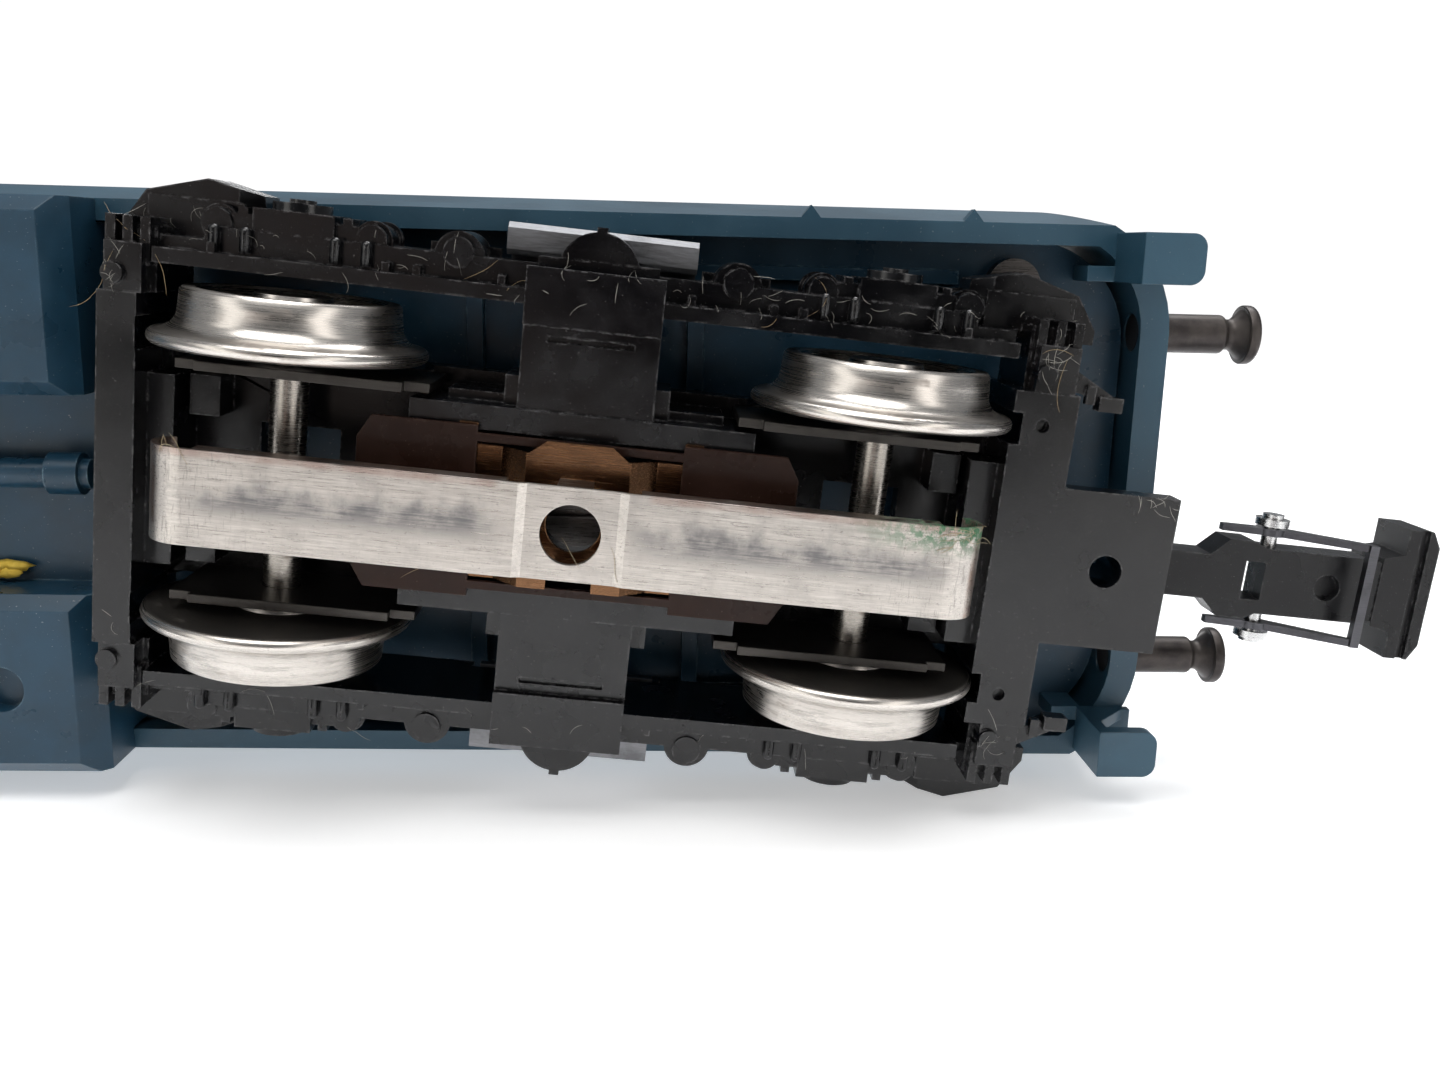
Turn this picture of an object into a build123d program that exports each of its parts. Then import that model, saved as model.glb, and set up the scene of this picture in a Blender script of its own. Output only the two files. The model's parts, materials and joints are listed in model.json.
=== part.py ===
from build123d import *
import os
from math import acos, cos, pi, radians, sin, sqrt, tan

os.makedirs("parts", exist_ok=True)

# H0 (1:87) four-axle diesel locomotive, in millimetres.
# +X is the front, +Z is up, z = 0 is the lowest point of the wheel flanges.
# Bogie pieces are drawn about their own pivot, with +X towards the coupler,
# and are then turned and moved to the place they have under the body.

# ---------------------------------------------------------------- driving sizes
PIVOT_X = 49.5            # body centre to each bogie pivot
REST_TURN = 5.0           # the trailing bogie rests turned by this many degrees
FIT = 0.05                # radial running clearance
GAP = 0.1                 # clearance between neighbouring fixed pieces

# wheels and axles
WHEELBASE = 32.0
TREAD_R = 5.65
FLANGE_R = 7.2
BACK_Y = 7.0              # wheel back, half of the back-to-back size
FACE_Y = 10.0             # outer face of the wheel
AXLE_R = 1.0
HUB_R = 2.3
HUB_STEP = 0.4
AXLE_Z = FLANGE_R
AXLE_X = WHEELBASE / 2

# bogie frame
FRAME_Z = 4.6             # underside of the bogie frame
FLOOR_Z = 10.0            # underside of the bogie floor plate
FLOOR_T = 1.5
FLOOR_TOP = FLOOR_Z + FLOOR_T
FLOOR_HALF_Y = 6.8
INNER_BEAM_X = AXLE_X + 7.2             # inner (tank end) beam, near face
INNER_BEAM_T = 2.0
OUTER_BEAM_X = AXLE_X + 6.7             # outer (coupler end) beam, near face
OUTER_BEAM_T = 3.5
BEAM_HALF_Y = 9.4
CROSS_HALF_X = 3.6        # cross piece under the middle of the bogie
RAIL_IN = 4.3             # longitudinal rails beside the shoe
RAIL_OUT = 5.6
SIDE_Y = 11.0             # inner face of the side frame
SIDE_TOP = 12.1
SIDE_FOOT = 5.2           # lowest strip of the side frame
PIN_OFFSETS = (-3.9, -2.3, 2.3, 3.9)    # brake hanger pins, from the axle
SAND_BOX_SHIFT = {1: 2.6, -1: 0.4}      # outer and inner sand boxes, beyond the axle
WHEEL_ROOM = 0.5          # clearance round the flanges

# pivots
SCREW_R = 1.05
SCREW_HEAD_TOP = 7.3
RING_R = 3.0              # the motor bogie's pivot ring
BRIDGE_T = 1.8            # bridge that the ring turns in

# couplers
PLATE_END = AXLE_X + 16.7               # far edge of the coupler plate
PLATE_HALF_Y = 4.4
PLATE_T = 1.6
POST_HOLE_R = 0.9
POST_R = 1.45
COUPLER_X = AXLE_X + 13.2               # coupler pivot, from the bogie pivot
COUPLER_Z = FRAME_Z + PLATE_T + 0.15
COUPLER_T = 2.2
BAIL_X = COUPLER_X + 10.25              # bail pin
BAIL_LOW = COUPLER_Z - 1.6              # underside of the bail's crossbar
HEAD_X = COUPLER_X + 16.7               # back of the coupler head
COUPLER_TIP = COUPLER_X + 19.8
HEAD_HALF_Y = 3.8

# gear train
MODULE = 0.4
AXLE_TEETH = 24
IDLER_TEETH = 36
PINION_TEETH = 12
GEAR_Y = 4.2              # near face of the gears
GEAR_T = 2.0
IDLER_X = 8.4             # idler pin, from the bogie pivot
IDLER_PIN_R = 0.8

# motor
WALL_Y0 = 3.0             # gear side wall
WALL_Y1 = 4.0
BACK_WALL_Y0 = -6.4
BACK_WALL_Y1 = -5.6
ARMATURE_R = 6.6
SHAFT_R = 0.75
BRUSH_Y = -6.5

# body
BODY_BOTTOM = 12.2
BODY_TOP = 50.6
BODY_HALF_X = 83.8
BODY_HALF_Y = 17.0
SILL_HALF_Y = BODY_HALF_Y - 0.8         # the side leans in to this at the lower edge
SILL_BEND_Z = 17.6
CANT_Z = 38.5             # the side ends here and the roof curve starts
ROOF_FLAT_Y = BODY_HALF_Y - 9.4
CORNER_R = 7.0
SIDE_WALL = 1.2
FRONT_WALL = 1.7
FRONT_FOOT_Z = 27.5       # the cab front leans back above this height
FRONT_BROW_X = BODY_HALF_X - 4.6
FRONT_BROW_Z = 42.0
SILL_LUGS = (21.4, 12.0)  # small lugs on the lower edge, back from the front face
TANK_HALF_X = 22.4
TANK_BOTTOM = 7.6

# openings in the body
SIDE_WINDOWS = (-52.0, -17.0, 17.0, 52.0)
SIDE_GRILLES = (-34.5, 0.0, 34.5)
WINDOW_W = 7.6
WINDOW_Z0 = 29.6
WINDOW_Z1 = 35.4
GRILLE_W = 13.0
GRILLE_Z0 = 24.0
GRILLE_Z1 = 36.0
DOOR_X = BODY_HALF_X - 17.3
DOOR_W = 6.8
CAB_WINDOW_X = BODY_HALF_X - 9.2
CAB_WINDOW_W = 5.2
SCREEN_Y = 6.9
SCREEN_W = 11.2
FAN_X = -22.0
FAN_R = 7.0
EXHAUST_X = 8.0

# handrails
RAIL_R = 0.3
RAIL_Z0 = 18.9            # the door rails stand in shallow pockets
RAIL_Z1 = 28.3
RAIL_POCKET = 0.75
FRONT_RAIL_Z = 25.4

# buffers and lamps
BUFFER_Z = 13.75
BUFFER_Y = 10.05
BUFFER_TIP = BODY_HALF_X + 5.8
BUFFER_HOLE_R = 1.15
BUFFER_HEAD_R = 1.75
LAMP_Y = 10.6
LAMP_Z = 20.6
LAMP_R = 1.5
TOP_LAMP_Z = 43.2
LAMP_X = BODY_HALF_X - 12.6             # lamp holder behind each cab front

# underframe
DECK_Z = 14.8             # underside of the deck, above the wheels
DECK_T = 1.4
DECK_TOP = DECK_Z + DECK_T
DECK_HALF_X = BODY_HALF_X - 1.9
DECK_HALF_Y = SILL_HALF_Y - SIDE_WALL + 0.25
DECK_CORNER_R = CORNER_R - 1.0
MOTOR_WELL_X = 27.4
MOTOR_WELL_Y = 12.4
TANK_TOP_HALF_Y = SILL_HALF_Y - SIDE_WALL - GAP
PIPE_Y = -1.0
PIPE_Z = 10.2
STEP_X = BODY_HALF_X - 3.6              # back of the corner steps

# screws that hold the shell
SHELL_SCREW_R = 0.8
SCREW_TIP_Z = 20.5
SHELL_SCREWS = [(x, y) for x in (BODY_HALF_X - 9.0, 9.0 - BODY_HALF_X)
                for y in (BODY_HALF_Y - 4.4, 4.4 - BODY_HALF_Y)]

# inside the body
BALLAST_X0 = -19.0
BALLAST_X1 = 62.0
BALLAST_TOP = 30.0
BOARD_Z = 32.4

# pickup shoe
SHOE_Z = 0.15             # underside of the shoe wings at rest
SHOE_HALF_X = 21.0
SHOE_HALF_Y = 2.45
SHOE_T = 0.3


# ---------------------------------------------------------------- drawing helpers
def block(x0, x1, y0, y1, z0, z1):
    """A box given by its limits."""
    centre = Pos((x0 + x1) / 2, (y0 + y1) / 2, (z0 + z1) / 2)
    return centre * Box(abs(x1 - x0), abs(y1 - y0), abs(z1 - z0))


def rod_x(radius, y, z, x0, x1):
    """A round bar along X."""
    return Pos((x0 + x1) / 2, y, z) * Rot(0, 90, 0) * Cylinder(radius, abs(x1 - x0))


def rod_y(radius, x, z, y0, y1):
    """A round bar along Y."""
    return Pos(x, (y0 + y1) / 2, z) * Rot(90, 0, 0) * Cylinder(radius, abs(y1 - y0))


def rod_z(radius, x, y, z0, z1):
    """A round bar along Z."""
    return Pos(x, y, (z0 + z1) / 2) * Cylinder(radius, abs(z1 - z0))


def prism_z(points, z0, z1):
    """An outline in plan, carried from z0 up to z1."""
    face = make_face(Polyline(*points, close=True))
    return Pos(0, 0, z0) * extrude(face, amount=z1 - z0, dir=(0, 0, 1))


def prism_y(points, y0, y1):
    """An outline of (x, z) points, carried from y0 to y1."""
    face = make_face(Plane.XZ * Polyline(*points, close=True))
    return Pos(0, y0, 0) * extrude(face, amount=y1 - y0, dir=(0, 1, 0))


def prism_x(points, x0, x1):
    """An outline of (y, z) points, carried from x0 to x1."""
    face = make_face(Plane.YZ * Polyline(*points, close=True))
    return Pos(x0, 0, 0) * extrude(face, amount=x1 - x0, dir=(1, 0, 0))


def turned(points):
    """A ring turned about the Y axis from (radius, y) points."""
    face = make_face(Polyline(*points, close=True))
    return revolve(face, Axis.Y)


def join(pieces):
    """One solid from pieces that meet."""
    whole = pieces[0]
    for piece in pieces[1:]:
        whole += piece
    return whole


def both_sides(piece):
    """A piece and its mirror image across the centre line."""
    return [piece, mirror(piece, about=Plane.XZ)]


def both_ends(piece):
    """A piece and its copy at the other end of the locomotive."""
    return [piece, Rot(0, 0, 180) * piece]


def group(pieces):
    """Separate solids kept in one node."""
    solids = []
    for piece in pieces:
        solids += piece.solids()
    return Compound(children=solids)


TRAILING = Pos(PIVOT_X, 0, 0) * Rot(0, 0, REST_TURN)
DRIVING = Pos(-PIVOT_X, 0, 0) * Rot(0, 0, 180)
BODY = Pos(0, 0, 0)


def save(name, pieces, place=BODY):
    """Write one node, from one shape or a list of separate ones."""
    shape = group(pieces) if isinstance(pieces, list) else pieces
    export_step(place * shape, f"parts/{name}.step")


# ---------------------------------------------------------------- wheelsets
def wheel(tyre_groove=False):
    """The wheel on the +Y end of an axle, turned about the axle line."""
    rim = (FLANGE_R - 0.25, BACK_Y + 0.75)
    root = (TREAD_R + 0.12, BACK_Y + 1.55)
    outline = [
        Line((AXLE_R, BACK_Y - HUB_STEP), (HUB_R, BACK_Y - HUB_STEP)),
        Line((HUB_R, BACK_Y - HUB_STEP), (HUB_R + 0.15, BACK_Y)),
        Line((HUB_R + 0.15, BACK_Y), (FLANGE_R - 0.45, BACK_Y)),
        ThreePointArc((FLANGE_R - 0.45, BACK_Y), (FLANGE_R, BACK_Y + 0.4), rim),
        ThreePointArc(rim, (TREAD_R + 0.45, BACK_Y + 1.05), root),
        Line(root, (TREAD_R, FACE_Y - 0.15)),
        Line((TREAD_R, FACE_Y - 0.15), (TREAD_R - 0.15, FACE_Y)),
        Line((TREAD_R - 0.15, FACE_Y), (TREAD_R - 0.75, FACE_Y)),
        Line((TREAD_R - 0.75, FACE_Y), (TREAD_R - 0.95, FACE_Y - 0.6)),
        Line((TREAD_R - 0.95, FACE_Y - 0.6), (HUB_R - 0.1, FACE_Y - 0.6)),
        Line((HUB_R - 0.1, FACE_Y - 0.6), (HUB_R - 0.3, FACE_Y)),
        Line((HUB_R - 0.3, FACE_Y), (AXLE_R, FACE_Y)),
        Line((AXLE_R, FACE_Y), (AXLE_R, BACK_Y - HUB_STEP)),
    ]
    disc = revolve(make_face(outline), Axis.Y)
    if tyre_groove:
        disc -= tyre(GAP * 2)
    return disc


def tyre(proud=0.0):
    """The rubber ring let into the tread of a driving wheel."""
    y0 = FACE_Y - 1.15
    y1 = FACE_Y - 0.35
    ring = turned([(TREAD_R - 0.35, y0), (TREAD_R + 0.03 + proud, y0),
                   (TREAD_R + 0.03 + proud, y1), (TREAD_R - 0.35, y1)])
    return ring


def axle(length_half=FACE_Y):
    """A plain axle with chamfered ends, about the axle line."""
    bar = rod_y(AXLE_R, 0, 0, -length_half, length_half)
    return chamfer(bar.edges().filter_by(GeomType.CIRCLE), 0.12)


def at_axle(shape, side):
    """Move a wheelset piece to the outer (+1) or inner (-1) axle of its bogie."""
    return Pos(side * AXLE_X, 0, AXLE_Z) * shape


# ---------------------------------------------------------------- gears
def involute(angle):
    return tan(angle) - angle


def gear(teeth, bore, phase, y0, y1):
    """A spur gear about the Y axis; phase is the direction of one tooth in the XZ plane."""
    pitch_r = MODULE * teeth / 2
    base_r = pitch_r * cos(radians(20))
    tip_r = pitch_r + 0.85 * MODULE
    root_r = pitch_r - 1.25 * MODULE
    flank_from = max(base_r, root_r + 0.02)
    half = pi / (2 * teeth) - 0.03 / pitch_r + involute(radians(20))
    radii = [flank_from + (tip_r - flank_from) * step / 4 for step in range(5)]
    angles = [half - involute(acos(min(1.0, base_r / r))) for r in radii]
    flank = [(root_r, angles[0] + 0.01)] + list(zip(radii, angles))
    outline = []
    for tooth in range(teeth):
        middle = phase + 2 * pi * tooth / teeth
        outline += [(r * cos(middle - a), r * sin(middle - a)) for r, a in flank]
        outline += [(r * cos(middle + a), r * sin(middle + a)) for r, a in reversed(flank)]
    body = prism_y(outline, y0, y1)
    return body - rod_y(bore, 0, 0, y0 - 1, y1 + 1)


def meshed_phase(teeth_a, phase_a, teeth_b, direction):
    """Tooth direction of gear B that meshes with gear A, B lying in that direction from A."""
    return direction + pi - (pi - teeth_a * (direction - phase_a)) / teeth_b


def reach(teeth_a, teeth_b):
    """Centre distance of two meshed gears."""
    return MODULE * (teeth_a + teeth_b) / 2


IDLER_DX = AXLE_X - IDLER_X
IDLER_Z = AXLE_Z + sqrt(reach(AXLE_TEETH, IDLER_TEETH) ** 2 - IDLER_DX ** 2)
ARMATURE_Z = IDLER_Z + sqrt(reach(PINION_TEETH, IDLER_TEETH) ** 2 - IDLER_X ** 2)
FIELD_TOP = ARMATURE_Z + 8.6
BRIDGE_Z = FIELD_TOP + 3.0


def idler_direction(side):
    """Direction from the armature to the idler on that side."""
    below = acos(IDLER_X / reach(PINION_TEETH, IDLER_TEETH))
    return -below if side > 0 else pi + below


def axle_direction(side):
    """Direction from an idler to the axle beside it."""
    angle = acos(IDLER_DX / reach(AXLE_TEETH, IDLER_TEETH))
    return -angle if side > 0 else pi + angle


PINION_PHASE = idler_direction(1)
IDLER_PHASE = {side: meshed_phase(PINION_TEETH, PINION_PHASE, IDLER_TEETH, idler_direction(side))
               for side in (1, -1)}
AXLE_PHASE = {side: meshed_phase(IDLER_TEETH, IDLER_PHASE[side], AXLE_TEETH, axle_direction(side))
              for side in (1, -1)}


# ---------------------------------------------------------------- bogie side frames


def axle_box(x):
    """Stepped axle box cover with its two springs and the hanger pins below."""
    pieces = [
        block(x - 4.6, x + 4.6, 13.0, 13.45, 7.4, 10.6),
        block(x - 3.3, x + 3.3, 13.0, 13.9, 6.9, 11.0),
        block(x - 2.1, x + 2.1, 13.0, 14.3, 6.5, 10.4),
        rod_y(1.55, x, AXLE_Z + 1.1, 14.2, 14.75),
        rod_y(0.7, x, AXLE_Z + 1.1, 14.7, 14.95),
    ]
    for shift in (-2.7, 2.7):
        pieces.append(block(x + shift - 0.25, x + shift + 0.25, 13.8, 14.25, 6.9, 10.6))
    for shift in (-4.0, 4.0):
        pieces.append(rod_z(0.8, x + shift, 13.3, 6.7, 11.2))
        pieces.append(rod_z(1.0, x + shift, 13.3, 7.3, 7.7))
        pieces.append(rod_z(1.0, x + shift, 13.3, 10.2, 10.6))
    for shift in PIN_OFFSETS:
        pieces.append(rod_y(0.3, x + shift, 6.1, 11.9, 12.95))
        pieces.append(Pos(x + shift, 12.95, 6.1) * Sphere(0.3))
        pieces.append(block(x + shift - 0.2, x + shift + 0.2, 12.0, 12.9, 6.1, 6.6))
    return pieces


def side_frame():
    """The +Y side frame, one moulding with its raised detail."""
    length = OUTER_BEAM_X
    pieces = [
        block(-length, length, SIDE_Y, SIDE_Y + 0.8, SIDE_FOOT, 6.4),
        block(-length, length, SIDE_Y, SIDE_Y + 1.4, 6.4, 11.2),
        block(-length + 2.2, length - 2.2, SIDE_Y + 1.3, SIDE_Y + 2.1, 6.4, 10.8),
        block(-length, -5.6, SIDE_Y, SIDE_Y + 1.8, 11.2, SIDE_TOP),
        block(5.6, length, SIDE_Y, SIDE_Y + 1.8, 11.2, SIDE_TOP),
        rod_z(2.15, 0, SIDE_Y + 1.9, 6.0, 8.4),
        block(-0.28, 0.28, SIDE_Y + 1.9, SIDE_Y + 4.3, 6.0, 8.4),
        block(-3.2, 3.2, SIDE_Y + 0.8, SIDE_Y + 2.5, 5.8, 8.0),
    ]
    for x in (-AXLE_X, AXLE_X):
        pieces += axle_box(x)
    for x in (-7.4, 7.4):
        pieces.append(rod_z(1.3, x, SIDE_Y + 2.0, 6.6, 10.2))
        pieces.append(rod_z(0.8, x, SIDE_Y + 2.2, 6.2, 10.6))
        pieces.append(block(x - 1.9, x + 1.9, SIDE_Y + 1.2, SIDE_Y + 2.6, 9.0, 9.6))
    for x in (5.0, AXLE_X - 6.6, AXLE_X - 5.0, AXLE_X + 3.9):
        pieces.append(block(x - 0.2, x + 0.2, SIDE_Y + 0.7, SIDE_Y + 1.3, 5.6, 6.5))
        pieces.append(block(-x - 0.2, -x + 0.2, SIDE_Y + 0.7, SIDE_Y + 1.3, 5.6, 6.5))
    pieces += sand_box(1)
    pieces += sand_box(-1)
    pieces += corner_bracket(OUTER_BEAM_X + 0.7, OUTER_BEAM_X + OUTER_BEAM_T)
    pieces += corner_bracket(-INNER_BEAM_X - INNER_BEAM_T, -INNER_BEAM_X + 0.5)
    pieces += guard_arm()
    return join(pieces)


def sand_box(end):
    """The wedge-shaped box at a corner of the side frame."""
    near = AXLE_X + SAND_BOX_SHIFT[end]
    plan = [(1.6, 12.0), (1.9, 14.9), (4.6, 15.5), (7.8, 14.6), (9.0, 12.8), (9.0, 12.0)]
    box = prism_z([(end * (near + x), y) for x, y in plan], 8.4, SIDE_TOP)
    slope = prism_y([(end * (near + x), z) for x, z in ((1.0, 8.0), (3.4, 8.0), (1.0, 10.2))], 11.0, 16.0)
    lid = block(end * (near + 2.6), end * (near + 7.6), 12.4, 14.4, 8.1, 8.5)
    return [box - slope, lid]


def corner_bracket(x0, x1):
    """The ribbed block that ties a side frame to an end beam."""
    inner = BEAM_HALF_Y
    pieces = [
        block(x0, x1, inner, 12.8, 6.0, 11.6),
        block(x0 + 0.3, x1 - 0.3, inner, 11.9, FRAME_Z + 0.1, 6.1),
    ]
    for share in (0.15, 0.5, 0.85):
        x = x0 + share * (x1 - x0)
        pieces.append(block(x - 0.25, x + 0.25, inner + 1.4, 13.2, 5.3, 11.0))
    pieces.append(rod_z(0.55, x0 + 0.8, inner + 0.9, FRAME_Z - 0.2, 6.0))
    return pieces


def guard_arm():
    """The short rail guard that reaches forward from the outer corner."""
    x = OUTER_BEAM_X + OUTER_BEAM_T
    plan = [(x - 0.6, 10.9), (x - 0.6, 9.6), (x + 0.2, 9.5), (x + 1.9, 8.9), (x + 2.0, 9.5)]
    return [
        prism_z(plan, SIDE_FOOT, 6.0),
        block(x + 1.1, x + 2.4, 8.7, 9.5, 4.7, 5.7),
        block(x + 0.4, x + 0.9, 9.0, 10.0, 4.9, 5.4),
    ]


# ---------------------------------------------------------------- trailing bogie
def coupler_pocket():
    """The plate, the hollow post and the upper lug that hold a coupler."""
    face = OUTER_BEAM_X + OUTER_BEAM_T
    lug_z = FRAME_Z + PLATE_T + 2.5
    pieces = [
        block(face, PLATE_END, -PLATE_HALF_Y, PLATE_HALF_Y, FRAME_Z, FRAME_Z + PLATE_T),
        rod_z(POST_R, COUPLER_X, 0, FRAME_Z + PLATE_T, lug_z),
        block(face, COUPLER_X + 2.0, -2.8, 2.8, lug_z, lug_z + 1.2),
    ]
    return pieces


def coupler_hole():
    """The hole through the coupler plate, its post and its lug."""
    return rod_z(POST_HOLE_R, COUPLER_X, 0, FRAME_Z - 1, FLOOR_TOP + 1)


def wheel_pockets():
    """Room for the flanges where they reach into the end beams."""
    pockets = []
    for end in (1, -1):
        for side in (1, -1):
            pockets.append(rod_y(FLANGE_R + WHEEL_ROOM, end * AXLE_X, AXLE_Z, side * 6.5, side * 8.2))
    return pockets


def beams():
    """The two cross beams that close the ends of a bogie frame."""
    y = BEAM_HALF_Y
    inner = block(-INNER_BEAM_X - INNER_BEAM_T, -INNER_BEAM_X, -y, y, FRAME_Z, FLOOR_TOP)
    outer = block(OUTER_BEAM_X, OUTER_BEAM_X + OUTER_BEAM_T, -y, y, FRAME_Z, FLOOR_TOP)
    return [inner, outer]


def trailing_frame():
    """The moulded frame of the unpowered bogie, with its floor, beams and coupler plate."""
    floor = block(-INNER_BEAM_X, OUTER_BEAM_X, -FLOOR_HALF_Y, FLOOR_HALF_Y, FLOOR_Z, FLOOR_TOP)
    pieces = beams() + [floor] + coupler_pocket()
    pieces.append(rod_z(3.4, 0, 0, FLOOR_TOP, FLOOR_TOP + 1.0))
    pieces.append(rod_z(2.5, 0, 0, SCREW_HEAD_TOP + GAP, FLOOR_Z))
    half_x = CROSS_HALF_X
    for side in (1, -1):
        pieces.append(block(-9.1, 9.1, side * RAIL_IN, side * RAIL_OUT, FRAME_Z - 0.3, FLOOR_Z))
        pieces.append(block(-7.4, 7.4, side * RAIL_IN, side * (RAIL_OUT + 0.5), 6.2, FLOOR_Z))
        pieces.append(block(-half_x, half_x, side * RAIL_OUT, side * 10.6, FRAME_Z, FLOOR_Z))
        pieces.append(block(-half_x, half_x, side * 10.5, side * 13.0, FRAME_Z - 0.5, SIDE_FOOT))
        pieces.append(block(-half_x, half_x, side * 10.0, side * 10.8, FRAME_Z - 0.5, FRAME_Z))
        pieces.append(block(-half_x - 0.8, -half_x, side * RAIL_OUT, side * 7.2, 5.6, FLOOR_Z))
        pieces.append(block(half_x, half_x + 0.8, side * RAIL_OUT, side * 7.2, 5.6, FLOOR_Z))
        for x in (-INNER_BEAM_X + 2.6, OUTER_BEAM_X - 2.5):
            pieces.append(block(x - 0.8, x + 0.8, side * 3.0, side * 5.2, 7.6, FLOOR_Z))
    pieces.append(block(-INNER_BEAM_X, -INNER_BEAM_X + 1.4, -5.2, 5.2, 6.4, FLOOR_Z))
    pieces.append(block(OUTER_BEAM_X - 1.5, OUTER_BEAM_X, -5.2, 5.2, 6.0, FLOOR_Z))
    frame = join(pieces)
    for pocket in wheel_pockets():
        frame -= pocket
    for x in (-AXLE_X, -6.6, 6.6, AXLE_X):
        frame -= block(x - 2.2, x + 2.2, -2.6, 2.6, FLOOR_Z - 1, FLOOR_TOP + 1)
    frame -= coupler_hole()
    frame -= rod_z(SCREW_R + FIT, 0, 0, FRAME_Z, FLOOR_TOP + 2)
    for side in (1, -1):
        frame -= block(-2.3, 2.3, side * 9.2, side * 9.5, FRAME_Z - 0.1, FRAME_Z + 0.25)
        frame -= rod_z(0.35, OUTER_BEAM_X + 1.7, side * 7.6, FRAME_Z - 1, FRAME_Z + 0.5)
    return frame


def bearing_plates():
    """Four thin plates that carry the axles, standing under the bogie floor."""
    plates = []
    for end in (1, -1):
        plate = block(end * (AXLE_X - 7.9), end * (AXLE_X + 5.0), 5.9, 6.4, 3.5, FLOOR_Z)
        plate -= rod_y(AXLE_R + FIT, end * AXLE_X, AXLE_Z, 5, 7)
        plate -= block(end * (AXLE_X - 8.0), end * (AXLE_X - 6.6), 5.8, 6.5, 3.4, 4.2)
        plate -= block(end * (AXLE_X + 3.9), end * (AXLE_X + 5.1), 5.8, 6.5, 3.4, 4.0)
        plates += both_sides(plate)
    return plates


def bolster():
    """The grey metal cross piece over the bogie floor, with turned-down ends."""
    half_x = 5.2
    pieces = [block(-CROSS_HALF_X, CROSS_HALF_X, -SIDE_Y, SIDE_Y, FLOOR_TOP, SIDE_TOP)]
    for side in (1, -1):
        pieces.append(block(-half_x, half_x, side * (SIDE_Y - 0.1), side * 15.1, FLOOR_TOP, SIDE_TOP))
        pieces.append(block(-half_x, half_x, side * 13.35, side * 15.1, 8.7, FLOOR_TOP))
    whole = join(pieces)
    edges = whole.edges().filter_by(Axis.X).sort_by(Axis.Z)[:2]
    whole = chamfer(edges, 0.3)
    return whole - rod_z(3.4 + GAP, 0, 0, 11, 13)


def insulating_plate():
    """The dark brown card under the bogie rails, open where the spring reaches down."""
    z1 = FRAME_Z - 0.3 - 0.25
    z0 = z1 - 0.35
    plate = prism_z([(-11.6, -3.4), (-10.9, -4.6), (-5.4, -4.6), (-5.4, -4.2), (5.4, -4.2), (5.4, -4.6),
                     (10.9, -4.6), (11.6, -3.4), (11.6, 3.4), (10.9, 4.6), (5.4, 4.6), (5.4, 4.2),
                     (-5.4, 4.2), (-5.4, 4.6), (-10.9, 4.6), (-11.6, 3.4)], z0, z1)
    return plate - block(-5.4, 5.4, -3.75, 3.75, z0 - 1, z1 + 1)


def leaf_spring():
    """The bronze leaf that presses the shoe down, clamped at both ends."""
    top = FRAME_Z - 0.3
    t = 0.25
    low = SHOE_Z + 2.6
    outline = [(-6.4, top - t), (-4.1, top - t), (-2.7, low), (2.7, low), (4.1, top - t), (6.4, top - t),
               (6.4, top), (4.1, top), (2.7, low + t), (-2.7, low + t), (-4.1, top), (-6.4, top)]
    leaf = prism_y(outline, -3.6, 3.6)
    leaf += prism_z([(-2.7, -3.5), (-1.7, -4.3), (1.7, -4.3), (2.7, -3.5)], low, low + t)
    leaf -= rod_z(1.45, 0, 0, low - 1, top + 1)
    leaf += block(-6.4, -5.45, -4.7, 4.7, top - t, top)
    leaf += block(5.45, 6.4, -4.7, 4.7, top - t, top)
    return leaf - block(-1.2, 1.2, 3.0, 4.0, low - 1, top + 1)


def pickup_shoe():
    """The long nickel silver shoe with rolled-up ends, folded edges and two carrying lugs."""
    t = SHOE_T
    bend = 2.35
    roll = 1.7
    flat_end = SHOE_HALF_X - roll
    mid_z = SHOE_Z + 0.2
    y = SHOE_HALF_Y
    pieces = []
    for end in (1, -1):
        step = [(bend, mid_z), (bend, mid_z + t), (bend + 0.55, SHOE_Z + t), (bend + 0.45, SHOE_Z)]
        pieces.append(block(0, end * bend, -y, y, mid_z, mid_z + t))
        pieces.append(prism_y([(end * x, z) for x, z in step], -y, y))
        pieces.append(block(end * (bend + 0.45), end * flat_end, -y, y, SHOE_Z, SHOE_Z + t))
        ring = rod_y(roll + t, end * flat_end, SHOE_Z + t + roll, -y, y)
        ring -= rod_y(roll, end * flat_end, SHOE_Z + t + roll, -y - 1, y + 1)
        ring -= block(end * (flat_end - 5), end * flat_end, -9, 9, SHOE_Z - 1, 9)
        ring -= block(end * flat_end, end * (flat_end + 5), -9, 9, SHOE_Z + t + roll + 1.2, 9)
        pieces.append(ring)
        for side in (1, -1):
            y0 = side * (y - t)
            pieces.append(block(end * 3.4, end * (flat_end - 0.4), y0, side * y, SHOE_Z, SHOE_Z + 1.35))
            pieces.append(block(-0.9, 0.9, y0, side * y, mid_z, SHOE_Z + 2.6))
    shoe = join(pieces)
    return shoe - rod_z(1.55, 0, 0, SHOE_Z - 1, SHOE_Z + 2)


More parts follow.
